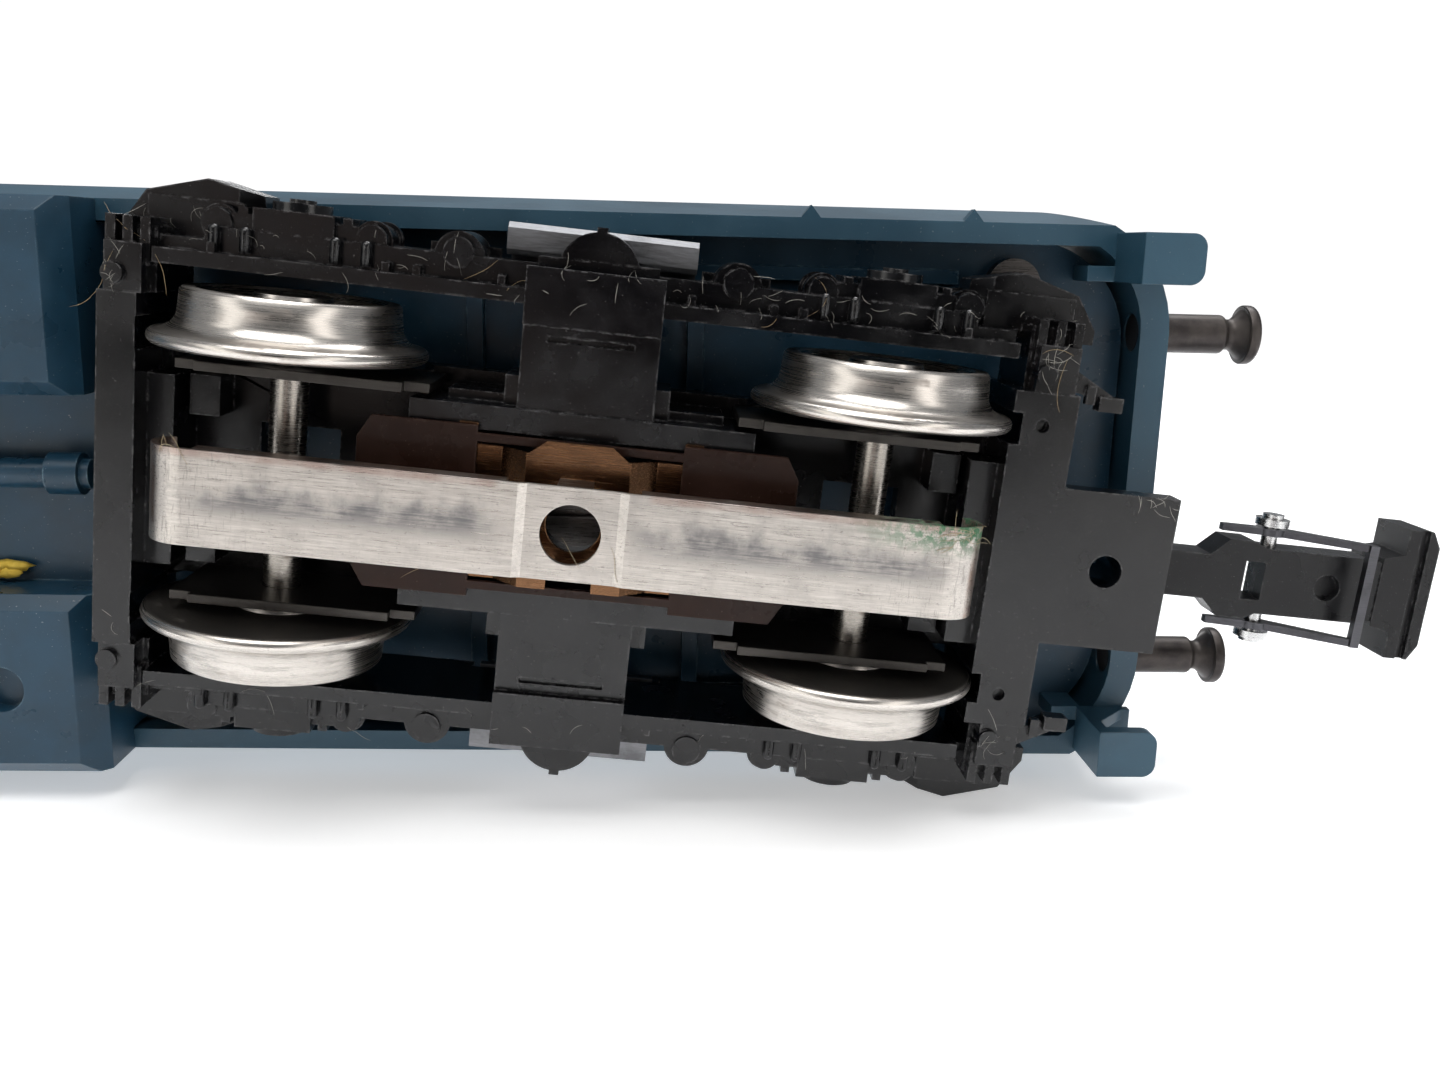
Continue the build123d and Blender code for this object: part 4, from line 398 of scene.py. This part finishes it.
def moulded_plastic(name, colour, worn, dust, roughness, scale=1.0, scuff=0.6, gloss=0.3):
    """Satin plastic with a fine moulded grain, pale edges that are both scuffed and a painted highlight, and
    specks of dust.
    """
    f = Finish(name, Specular_IOR_Level=gloss)
    where = f.place()
    cloud = f.noise(where, 0.35 * scale, 4.0)
    shade = f.mix(f.span(cloud, 0.3, 0.75), scaled(colour, 0.8), scaled(colour, 1.2))
    # Pale colour on broken stretches of the edges: scuffing and a painted highlight together.
    broken = f.span(f.noise(where, 1.5 * scale, 6.0, 0.72), 0.44, 0.7)
    edge = f.times(f.edges(0.18, 0.01, 0.14), broken)
    shade = f.lay(shade, worn, edge, scuff)
    specks = f.span(f.noise(where, 9.0 * scale, 2.0, 0.5), 0.71, 0.76)
    f.colour(f.lay(shade, dust, specks, 0.35))
    uneven = f.span(cloud, 0.3, 0.7, roughness - 0.06, roughness + 0.1)
    f.rough(f.plus(uneven, f.times(edge, 0.2)))
    grain = f.noise(where, 14.0, 3.0)
    f.bump(grain, 0.25, 0.02)
    return f.material


def clear_plastic(name):
    """Clear plastic, a little clouded."""
    f = Finish(name, IOR=1.49, Transmission_Weight=1.0)
    where = f.place()
    f.rough(f.span(f.noise(where, 1.2, 4.0), 0.4, 0.7, 0.02, 0.12))
    f.colour(f.mix(f.noise(where, 0.5, 2.0), (0.86, 0.92, 0.93), (0.95, 0.97, 0.97)))
    return f.material


def plain_matt(name, colour, other, scale, roughness, metallic=0.0):
    """Matt stuff with a mottled colour and a fine grain."""
    f = Finish(name, Metallic=metallic)
    where = f.place()
    cloud = f.noise(where, scale, 5.0, 0.6)
    f.colour(f.mix(f.span(cloud, 0.3, 0.7), colour, other))
    f.rough(f.span(cloud, 0.3, 0.7, roughness - 0.08, roughness + 0.08))
    f.bump(f.noise(where, 12.0, 3.0), 0.3, 0.02)
    return f.material


def brushed_sheet(name, matrix, colour, dark, roughness, grain=(0.5, 9.0, 9.0), scale=1.6, depth=0.4):
    """Rolled or brushed metal: streaks along the X axis of matrix and cloudy darker patches."""
    f = Finish(name, Metallic=1.0)
    streak = f.noise(f.place(matrix, grain), scale, 5.0, 0.65)
    cloud = f.noise(f.place(matrix), 0.5, 5.0, 0.6)
    shade = f.mix(f.span(streak, 0.3, 0.7), scaled(colour, 0.78), colour)
    shade = f.lay(shade, dark, f.span(cloud, 0.5, 0.75), 0.45)
    # Paler edges: rubbed metal and a painted highlight together.
    rubbed_and_highlight = [min(1.0, channel) for channel in scaled(colour, 1.3)]
    f.colour(f.lay(shade, rubbed_and_highlight, f.edges(0.08), 0.4))
    f.rough(f.span(streak, 0.25, 0.75, roughness - 0.07, roughness + 0.12))
    f.bump(streak, depth, 0.02)
    return f.material


def turned_metal(name, axle_matrix, colour, dark, roughness, groove):
    """Metal turned about the Y axis of axle_matrix.

    It has fine rings, brown worn bands, dark scars, flaked treads, pits, and painted shade on its flat faces.
    """
    soil = (0.13, 0.08, 0.05)
    tread = (7.4, 9.6)
    f = Finish(name, Metallic=1.0)
    where = f.place(axle_matrix)
    x, y, z = f.axes(where)
    radius = f.maths("SQRT", f.plus(f.times(x, x), f.times(z, z)))
    angle = f.maths("ARCTAN2", z, x)

    def around(per_radius, per_width, per_angle):
        """Coordinates that run round the axle, stretched by those factors."""
        return f.join(f.times(radius, per_radius), f.times(y, per_width), f.times(angle, per_angle))

    rings = around(9.0, 9.0, 0.5)
    fine = f.noise(rings, 1.6, 4.0, 0.65)
    patch = f.noise(where, 0.55, 5.0, 0.6, 0.6)
    band = f.noise(around(1.3, 1.6, 1.0), 1.0, 4.0, 0.6)
    shade = f.mix(f.span(fine, 0.3, 0.7), scaled(colour, 0.88), colour)
    worn = f.times(f.span(band, 0.54, 0.68), f.span(patch, 0.45, 0.62))
    shade = f.lay(shade, soil, worn, 0.5)
    scar = f.times(f.span(f.noise(rings, 0.9, 6.0, 0.75), 0.64, 0.72), f.span(patch, 0.52, 0.62))
    shade = f.lay(shade, dark, scar, 0.45)
    flakes = f.span(f.noise(around(2.0, 3.0, 2.5), 1.0, 7.0, 0.78), 0.5, 0.6)
    flakes = f.times(flakes, f.between(y, *tread, 0.5))
    shade = f.lay(shade, scaled(colour, 0.45), flakes, 0.5)
    pits = f.span(f.noise(where, 5.0, 4.0, 0.7), 0.66, 0.72)
    shade = f.lay(shade, soil, pits, 0.5)
    # Painted shade: faces that lie flat across the axle are darkened, standing in for the dim reflections they
    # show.
    facing = f.tree.nodes.new("ShaderNodeTexCoord").outputs["Normal"]
    along = f.maths("ABSOLUTE", f.vector("DOT_PRODUCT", facing, axle_matrix.col[1].xyz))
    flat_face_shade = f.span(along, 0.8, 0.96)
    f.colour(f.lay(shade, scaled(colour, 0.22), flat_face_shade, 0.75))
    uneven = f.span(fine, 0.25, 0.75, roughness - 0.04, roughness + 0.06)
    uneven = f.plus(uneven, f.times(worn, 0.2))
    f.rough(f.plus(uneven, f.times(flat_face_shade, 0.1)))
    f.bump(fine, groove, 0.004)
    return f.material


# ---------------------------------------------------------------- paint and pickup shoe

def body_paint():
    """Petrol blue paint, a grey roof and a slim pale line, split by height on the body."""
    roof_drop = 10.6
    stripe_rise = 9.4
    stripe_width = 0.9
    f = Finish("body_blue", Specular_IOR_Level=0.5)
    low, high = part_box("body_shell")
    where = f.place()
    z = f.axes(where)["Z"]
    cloud = f.noise(where, 0.16, 4.0)
    patch = f.span(cloud, 0.3, 0.7)
    blue = f.mix(patch, (0.0145, 0.052, 0.085), (0.021, 0.070, 0.110))
    grey = f.mix(patch, (0.094, 0.099, 0.104), (0.113, 0.118, 0.123))
    roof_line = high.z / MM - roof_drop
    roof = f.span(z, roof_line - 0.05, roof_line + 0.05)
    shade = f.mix(roof, blue, grey)
    waist = low.z / MM + stripe_rise
    stripe = f.between(z, waist, waist + stripe_width, 0.04)
    shade = f.mix(stripe, shade, (0.48, 0.5, 0.49))
    # Pale blue on broken stretches of the edges: rubbed paint and a painted highlight together.
    broken = f.span(f.noise(where, 1.8, 6.0, 0.7), 0.48, 0.7)
    edge = f.times(f.edges(0.16), broken)
    shade = f.lay(shade, (0.12, 0.23, 0.28), edge, 0.55)
    specks = f.span(f.noise(where, 6.0, 2.0, 0.5), 0.71, 0.76)
    f.colour(f.lay(shade, (0.35, 0.37, 0.36), specks, 0.3))
    f.rough(f.span(cloud, 0.3, 0.7, 0.34, 0.48))
    f.bump(f.noise(where, 7.0, 3.0), 0.2, 0.03)
    return f.material


def shoe_metal():
    """Worn nickel silver, in the bogie's frame.

    It has lengthwise scratches, dark contact bands, a brown upper side and rim, cross scores,
    pits, and green corrosion at one corner.
    """
    f = Finish("nickel_silver", Metallic=1.0)
    low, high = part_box("pickup_shoe")
    half_x = (high.x - low.x) / 2 / MM
    where = f.place(BOGIE)
    x, y, z = f.axes(where)
    from_middle = f.maths("ABSOLUTE", x)
    streak = f.noise(f.place(BOGIE, (0.35, 8.0, 8.0)), 1.4, 6.0, 0.7)
    cross = f.noise(f.place(BOGIE, (7.0, 0.8, 1.0)), 1.3, 3.0, 0.6)
    cloud = f.noise(where, 0.45, 5.0, 0.62)
    shade = f.mix(f.span(streak, 0.28, 0.72), (0.44, 0.405, 0.37), (0.69, 0.645, 0.60))
    shade = f.lay(shade, (0.36, 0.335, 0.315), f.span(cloud, 0.45, 0.7), 0.5)
    wavy = f.plus(y, f.times(f.maths("SUBTRACT", cloud, 0.5), 2.0))
    lane = f.between(wavy, -0.75, 0.6, 0.6)
    reach = f.between(f.plus(from_middle, f.times(streak, 3.0)), 5.5, half_x - 1.0, 1.5)
    ragged = f.span(f.plus(streak, f.times(cloud, 0.9)), 0.66, 1.12)
    contact = f.times(f.times(lane, reach), ragged)
    shade = f.lay(shade, (0.15, 0.15, 0.158), contact, 0.9)
    shade = f.lay(shade, (0.30, 0.22, 0.18), f.span(z, 0.55, 0.8), f.span(cloud, 0.35, 0.6))
    rim = f.times(f.span(y, -1.95, -2.25), f.span(from_middle, 3.6, 4.2))
    shade = f.lay(shade, (0.40, 0.29, 0.25), rim, f.span(cloud, 0.3, 0.6, 0.2, 0.7))
    scored = f.times(f.span(cross, 0.56, 0.66), f.span(from_middle, 14.0, 20.0, 0.15, 1.0))
    shade = f.lay(shade, (0.24, 0.22, 0.2), scored, 0.5)
    pitted = f.span(f.noise(where, 4.5, 4.0, 0.7), 0.62, 0.70)
    shade = f.lay(shade, (0.17, 0.15, 0.14), pitted, 0.5)
    corner = f.times(f.span(x, 13.0, 19.5), f.span(y, -0.6, -2.0))
    green = f.times(corner, f.span(f.noise(where, 2.2, 5.0, 0.7), 0.42, 0.56))
    f.colour(f.mix(green, shade, (0.06, 0.17, 0.085)))
    f.metallic(f.span(green, 0.1, 0.7, 1.0, 0.1))
    uneven = f.plus(f.span(streak, 0.3, 0.7, 0.24, 0.42), f.times(contact, 0.12))
    f.rough(f.plus(uneven, f.times(green, 0.4)))
    height = f.plus(streak, f.times(cross, 0.25))
    f.bump(f.plus(height, f.times(green, 1.5)), 0.35, 0.02)
    return f.material


# ---------------------------------------------------------------- what each slot is painted with

# In each moulded slot, worn is the colour laid on the pale edges: scuffing and a painted highlight together.
MOULDED = {
    "chassis_blue": dict(
        colour=(0.0098, 0.041, 0.073), worn=(0.24, 0.37, 0.43), dust=(0.42, 0.44, 0.44),
        roughness=0.32, scale=0.8, scuff=0.9, gloss=0.42),
    "grille_grey": dict(
        colour=(0.05, 0.055, 0.06), worn=(0.2, 0.2, 0.2), dust=(0.3, 0.3, 0.3), roughness=0.5),
    "fan_black": dict(
        colour=(0.012, 0.012, 0.013), worn=(0.12, 0.12, 0.12), dust=(0.3, 0.3, 0.3),
        roughness=0.45),
    "cab_grey": dict(
        colour=(0.2, 0.21, 0.2), worn=(0.4, 0.4, 0.4), dust=(0.5, 0.5, 0.5), roughness=0.55),
    "bogie_black": dict(
        colour=(0.0024, 0.0024, 0.0032), worn=(0.2, 0.195, 0.2), dust=(0.24, 0.23, 0.22),
        roughness=0.2, scuff=0.75, gloss=0.5),
    "insulator_brown": dict(
        colour=(0.021, 0.0095, 0.0065), worn=(0.14, 0.08, 0.055), dust=(0.3, 0.24, 0.2),
        roughness=0.3, scuff=0.5, gloss=0.2),
    "coupler_black": dict(
        colour=(0.005, 0.005, 0.006), worn=(0.2, 0.2, 0.2), dust=(0.26, 0.26, 0.26),
        roughness=0.3, scale=1.2),
}

CLEAR = ("clear_glazing", "lamp_lens", "lamp_glass")

# Each matt slot: its colour, what that is mottled with, the mottling's scale, the roughness,
# and how metallic it is if it is metal.
MATT = {
    "rail_wire": ((0.03, 0.035, 0.04), (0.06, 0.065, 0.07), 1.0, 0.4),
    "buffer_metal": ((0.035, 0.03, 0.03), (0.075, 0.065, 0.06), 0.7, 0.42, 0.7),
    "cast_weight": ((0.2, 0.2, 0.21), (0.33, 0.33, 0.34), 0.6, 0.5, 1.0),
    "board_brown": ((0.17, 0.09, 0.03), (0.24, 0.14, 0.05), 0.8, 0.4),
    "component_black": ((0.015, 0.015, 0.02), (0.03, 0.03, 0.04), 1.5, 0.3),
    "motor_cast": ((0.02, 0.02, 0.022), (0.045, 0.045, 0.05), 0.8, 0.42, 0.6),
    "magnet_grey": ((0.1, 0.1, 0.11), (0.18, 0.18, 0.19), 0.8, 0.5, 0.9),
    "carbon_black": ((0.012, 0.012, 0.012), (0.03, 0.03, 0.03), 3.0, 0.6),
    "gear_white": ((0.6, 0.57, 0.45), (0.7, 0.68, 0.56), 1.0, 0.4),
    "tyre_rubber": ((0.02, 0.02, 0.02), (0.04, 0.04, 0.04), 2.0, 0.7),
}

# Each brushed slot: the frame its streaks follow, its colour, its darker patches, its roughness.
ALONG_BODY = Matrix()
BRUSHED = {
    "brass_part": (ALONG_BODY, (0.72, 0.52, 0.24), (0.3, 0.18, 0.06), 0.3),
    "steel_screw": (ALONG_BODY, (0.14, 0.13, 0.125), (0.03, 0.03, 0.03), 0.28),
    "bearing_black": (BOGIE, (0.07, 0.065, 0.06), (0.015, 0.014, 0.013), 0.36),
    "bronze_leaf": (BOGIE, (0.22, 0.115, 0.06), (0.03, 0.018, 0.012), 0.2),
    "coupler_steel": (ALONG_BODY, (0.68, 0.68, 0.68), (0.3, 0.3, 0.3), 0.2),
    "coupler_dark": (BOGIE, (0.10, 0.10, 0.11), (0.03, 0.03, 0.03), 0.34),
    "copper_wire": (ALONG_BODY, (0.72, 0.28, 0.13), (0.3, 0.1, 0.04), 0.3),
}

# Each turned slot: its colour, its scars, its roughness and how deep its rings are.
TURNED = {
    "wheel_nickel": ((0.71, 0.665, 0.62), (0.08, 0.075, 0.07), 0.27, 0.28),
    "axle_steel": ((0.38, 0.35, 0.315), (0.07, 0.06, 0.05), 0.26, 0.4),
}

# The joint about whose axis each turned piece was turned.
TURNED_ABOUT = {
    "trailing_axle_outer": "trailing_wheels_outer_spin",
    "trailing_wheels_outer": "trailing_wheels_outer_spin",
    "trailing_axle_inner": "trailing_wheels_inner_spin",
    "trailing_wheels_inner": "trailing_wheels_inner_spin",
    "drive_axle_outer": "drive_wheels_outer_spin",
    "drive_wheels_outer": "drive_wheels_outer_spin",
    "drive_axle_inner": "drive_wheels_inner_spin",
    "drive_wheels_inner": "drive_wheels_inner_spin",
    "armature": "armature_spin",
    "idler_pins": "idler_outer_spin",
}


def finish_table():
    """The material of each slot that looks the same on all its pieces."""
    table = {"body_blue": body_paint(), "nickel_silver": shoe_metal()}
    for slot, look in MOULDED.items():
        table[slot] = moulded_plastic(slot, **look)
    for slot in CLEAR:
        table[slot] = clear_plastic(slot)
    for slot, look in MATT.items():
        table[slot] = plain_matt(slot, *look)
    for slot, look in BRUSHED.items():
        table[slot] = brushed_sheet(slot, *look)
    table["bolster_grey"] = brushed_sheet(
        "bolster_grey", BOGIE, (0.27, 0.275, 0.29), (0.03, 0.03, 0.035), 0.4,
        grain=(0.8, 7.0, 7.0), scale=1.5, depth=1.0)
    return table


def paint_nodes():
    """Gives each CAD piece its slot's material, and each turned piece one of its own."""
    table = finish_table()
    for node, made in NODES.items():
        slot = SLOTS[node]
        if slot in TURNED:
            axle = axle_place(TURNED_ABOUT[node])
            material = turned_metal(slot + "_" + node, axle, *TURNED[slot])
        else:
            material = table[slot]
        for holder in made.material_slots:
            holder.material = material


# ---------------------------------------------------------------- softer edges on the CAD pieces

# Seams narrower than SEAM, in millimetres, are welded. Faces within FLAT of each other are
# joined, and edges sharper than SHARP are rounded.
SEAM = 0.002
FLAT = math.radians(0.5)
SHARP = math.radians(40)
LARGE_FACE_WEIGHT = 80

# How far the sharp edges of each piece are rounded, in millimetres.
ROUNDING = {
    "body_shell": 0.12, "corner_steps": 0.14, "underframe": 0.1, "fuel_tank": 0.2,
    "trailing_frame": 0.09, "trailing_side_frames": 0.06, "trailing_bolster": 0.12,
    "motor_frame": 0.09, "motor_side_frames": 0.06, "trailing_bearings": 0.05,
    "front_coupler": 0.1, "rear_coupler": 0.1, "pickup_shoe": 0.05, "leaf_spring": 0.03,
    "insulating_plate": 0.05, "buffers": 0.1, "cab_consoles": 0.1, "ballast_weight": 0.2,
}


def soften_edges():
    """Welds the seams of each CAD mesh and evens its shading.

    The pieces in ROUNDING also have their flat faces joined and their sharp edges rounded.
    """
    for node, made in NODES.items():
        weld = made.modifiers.new("seams", "WELD")
        weld.merge_threshold = SEAM * MM
        if node in ROUNDING:
            flats = made.modifiers.new("flats", "DECIMATE")
            flats.decimate_type = "DISSOLVE"
            flats.angle_limit = FLAT
            edge = made.modifiers.new("rounding", "BEVEL")
            edge.width = ROUNDING[node] * MM
            edge.segments = 2
            edge.limit_method = "ANGLE"
            edge.angle_limit = SHARP
            edge.use_clamp_overlap = True
        smooth = made.modifiers.new("shading", "WEIGHTED_NORMAL")
        smooth.keep_sharp = True
        smooth.weight = LARGE_FACE_WEIGHT


# ---------------------------------------------------------------- lint and crumbs

# A hair's steps and sides, and, in millimetres, how far it may rise in a step and how far
# below the surface its middle line lies.
HAIR_STEPS = 14
HAIR_SIDES = 5
HAIR_RISE = 0.25
HAIR_GAP = 0.04

# A crumb's lumps, and the rings and sides of each lump.
LUMPS = 5
LUMP_RINGS = 5
LUMP_SIDES = 7

# Surfaces are looked for upwards from this height and over this reach, in metres.
LOOK_FROM = -0.01
LOOK_REACH = 0.05

# Where hairs gather, in the bogie's frame and in millimetres: x, y, how many, how far apart
# and how long.
PALE_SPOTS = (
    [(x, -12.6, 5, 1.4, 0.9) for x in range(-24, 26, 4)]
    + [(x, 12.0, 2, 1.5, 1.4) for x in range(-22, 26, 6)]
    + [(-24.8, -10.0, 8, 0.7, 1.0), (-25.0, 8.0, 4, 0.8, 1.0), (24.6, -11.0, 10, 0.9, 1.2),
       (31.6, -4.4, 22, 0.7, 0.9), (24.8, 10.0, 5, 0.8, 1.6)])
TAN_SPOTS = [
    (-4.0, -12.3, 2, 2.5, 2.6), (10.0, -12.3, 2, 1.5, 2.6), (22.5, -11.0, 5, 1.5, 2.4),
    (-22.0, -11.5, 4, 1.5, 3.0), (-4.0, 4.2, 1, 1.0, 4.0)]
SHOE_SPOTS = [
    (20.2, -2.2, 22, 0.6, 1.4), (-20.0, -2.3, 8, 0.9, 1.6), (-9.0, 2.4, 2, 1.2, 7.0),
    (12.0, 2.2, 1, 1.0, 5.0), (1.5, 2.5, 3, 0.8, 2.4)]


def underside_of(body, margin):
    """What fibres lie on and keep to.

    It is a searchable copy of the body's CAD pieces at rest, and the corners of their box,
    which is margin millimetres wider on every side.
    """
    corners = []
    faces = []
    for node in BODIES[body]:
        made = NODES[node]
        first = len(corners)
        corners += [made.matrix_world @ corner.co for corner in made.data.vertices]
        faces += [[first + index for index in face.vertices] for face in made.data.polygons]
    low = Vector([min(corner[axis] for corner in corners) - margin * MM for axis in range(3)])
    high = Vector([max(corner[axis] for corner in corners) + margin * MM for axis in range(3)])
    return BVHTree.FromPolygons(corners, faces), low, high


def resting_height(tree, x, y, otherwise):
    """Height of the lowest surface above the point (x, y), seen from below."""
    hit = tree.ray_cast(Vector((x, y, LOOK_FROM)), Vector((0, 0, 1)), LOOK_REACH)[0]
    return hit.z if hit else otherwise


def fibre_path(under, start, heading, length, turn, chance):
    """Points of one hair that wanders from start and lies on what is above it.

    It is None if nothing is above the start.
    """
    tree, low, high = under
    x, y = start
    world = BOGIE @ Vector((x * MM, y * MM, 0))
    level = resting_height(tree, world.x, world.y, None)
    if level is None:
        return None
    points = []
    for _ in range(HAIR_STEPS):
        world = BOGIE @ Vector((x * MM, y * MM, 0))
        world.x = min(max(world.x, low.x), high.x)
        world.y = min(max(world.y, low.y), high.y)
        found = resting_height(tree, world.x, world.y, level)
        level = min(found, level + HAIR_RISE * MM)
        points.append(Vector((world.x, world.y, level - HAIR_GAP * MM)))
        turn += chance.uniform(-0.05, 0.05)
        heading += turn
        x += math.cos(heading) * length / HAIR_STEPS
        y += math.sin(heading) * length / HAIR_STEPS
    eased = [(a + b + c) / 3 for a, b, c in zip(points, points[1:], points[2:])]
    return [points[0]] + eased + [points[-1]]


def ring_faces(first, rings, sides):
    """Faces between neighbouring rings of corners, which are numbered from first."""
    faces = []
    for ring in range(rings):
        for side in range(sides):
            a = first + ring * sides + side
            b = first + ring * sides + (side + 1) % sides
            faces.append((a, b, b + sides, a + sides))
    return faces


def add_tube(corners, faces, path, radius):
    """Adds a thin tube along path, tapering to its ends."""
    first = len(corners)
    end = len(path) - 1
    for index, centre in enumerate(path):
        ahead = (path[min(index + 1, end)] - path[max(index - 1, 0)]).normalized()
        across = ahead.orthogonal().normalized()
        over = ahead.cross(across)
        share = index / end
        thick = radius * (0.35 + 0.65 * math.sin(math.pi * share) ** 0.5)
        for side in range(HAIR_SIDES):
            angle = 2 * math.pi * side / HAIR_SIDES
            corners.append(centre + across * math.cos(angle) * thick
                           + over * math.sin(angle) * thick)
    faces += ring_faces(first, end, HAIR_SIDES)
    faces.append(tuple(first + side for side in reversed(range(HAIR_SIDES))))
    last = first + end * HAIR_SIDES
    faces.append(tuple(last + side for side in range(HAIR_SIDES)))


def mesh_piece(name, corners, faces, material, body):
    """A smooth mesh piece that moves with a body."""
    mesh = bpy.data.meshes.new(name)
    mesh.from_pydata(corners, [], faces)
    mesh.materials.append(material)
    for face in mesh.polygons:
        face.use_smooth = True
    piece = add_object(name, mesh)
    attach(piece, body)


def lint(name, body, spots, colour, other, radius, seed, margin=0.0):
    """Hairs round each spot, lying on the underside of a body and moving with it."""
    chance = random.Random(seed)
    under = underside_of(body, margin)
    corners = []
    faces = []
    for x, y, count, spread, length in spots:
        for _ in range(count):
            start = (x + chance.gauss(0, spread), y + chance.gauss(0, spread * 0.5))
            path = fibre_path(under, start, chance.uniform(0, 2 * math.pi),
                              length * chance.uniform(0.4, 1.4), chance.uniform(-0.1, 0.1), chance)
            if path:
                add_tube(corners, faces, path, radius * MM * chance.uniform(0.7, 1.2))
    mesh_piece(name, corners, faces, plain_matt(name, colour, other, 3.0, 0.5), body)


def crumb(name, body, centre, size, colour, other, seed):
    """A few small broken lumps together, such as a scrap of old foam or paint."""
    chance = random.Random(seed)
    corners = []
    faces = []
    for _ in range(LUMPS):
        first = len(corners)
        middle = Vector(centre) + Vector([chance.uniform(-0.5, 0.5) * wide for wide in size])
        reach = [wide * chance.uniform(0.25, 0.45) for wide in size]
        for ring in range(LUMP_RINGS + 1):
            tilt = math.pi * ring / LUMP_RINGS
            for side in range(LUMP_SIDES):
                turn = 2 * math.pi * side / LUMP_SIDES
                away = chance.uniform(0.75, 1.2)
                outwards = Vector((
                    reach[0] * math.sin(tilt) * math.cos(turn),
                    reach[1] * math.sin(tilt) * math.sin(turn),
                    reach[2] * math.cos(tilt)))
                corners.append((middle + away * outwards) * MM)
        faces += ring_faces(first, LUMP_RINGS, LUMP_SIDES)
    mesh_piece(name, corners, faces, plain_matt(name, colour, other, 2.5, 0.8), body)


def add_lint():
    """Hairs on the bogie and its shoe, and crumbs by the tank and at a corner of the body."""
    lint("pale_lint", "trailing_bogie", PALE_SPOTS,
         (0.30, 0.29, 0.26), (0.42, 0.40, 0.36), radius=0.012, seed=3)
    lint("tan_lint", "trailing_bogie", TAN_SPOTS,
         (0.30, 0.20, 0.10), (0.40, 0.31, 0.18), radius=0.013, seed=11)
    lint("shoe_lint", "shoe", SHOE_SPOTS,
         (0.33, 0.24, 0.13), (0.46, 0.40, 0.27), radius=0.014, seed=5, margin=1.2)
    crumb("tank_crumb", "body", (16.6, 5.0, 11.3), (3.2, 0.9, 0.7),
          (0.55, 0.36, 0.03), (0.7, 0.5, 0.08), seed=4)
    crumb("corner_crumb", "body", (23.6, 14.4, 14.5), (1.0, 0.8, 0.5),
          (0.42, 0.33, 0.12), (0.6, 0.5, 0.25), seed=9)


make_camera()
make_stage()
make_world()
for lamp in LAMPS:
    make_lamp(*lamp)
paint_nodes()
soften_edges()
add_lint()
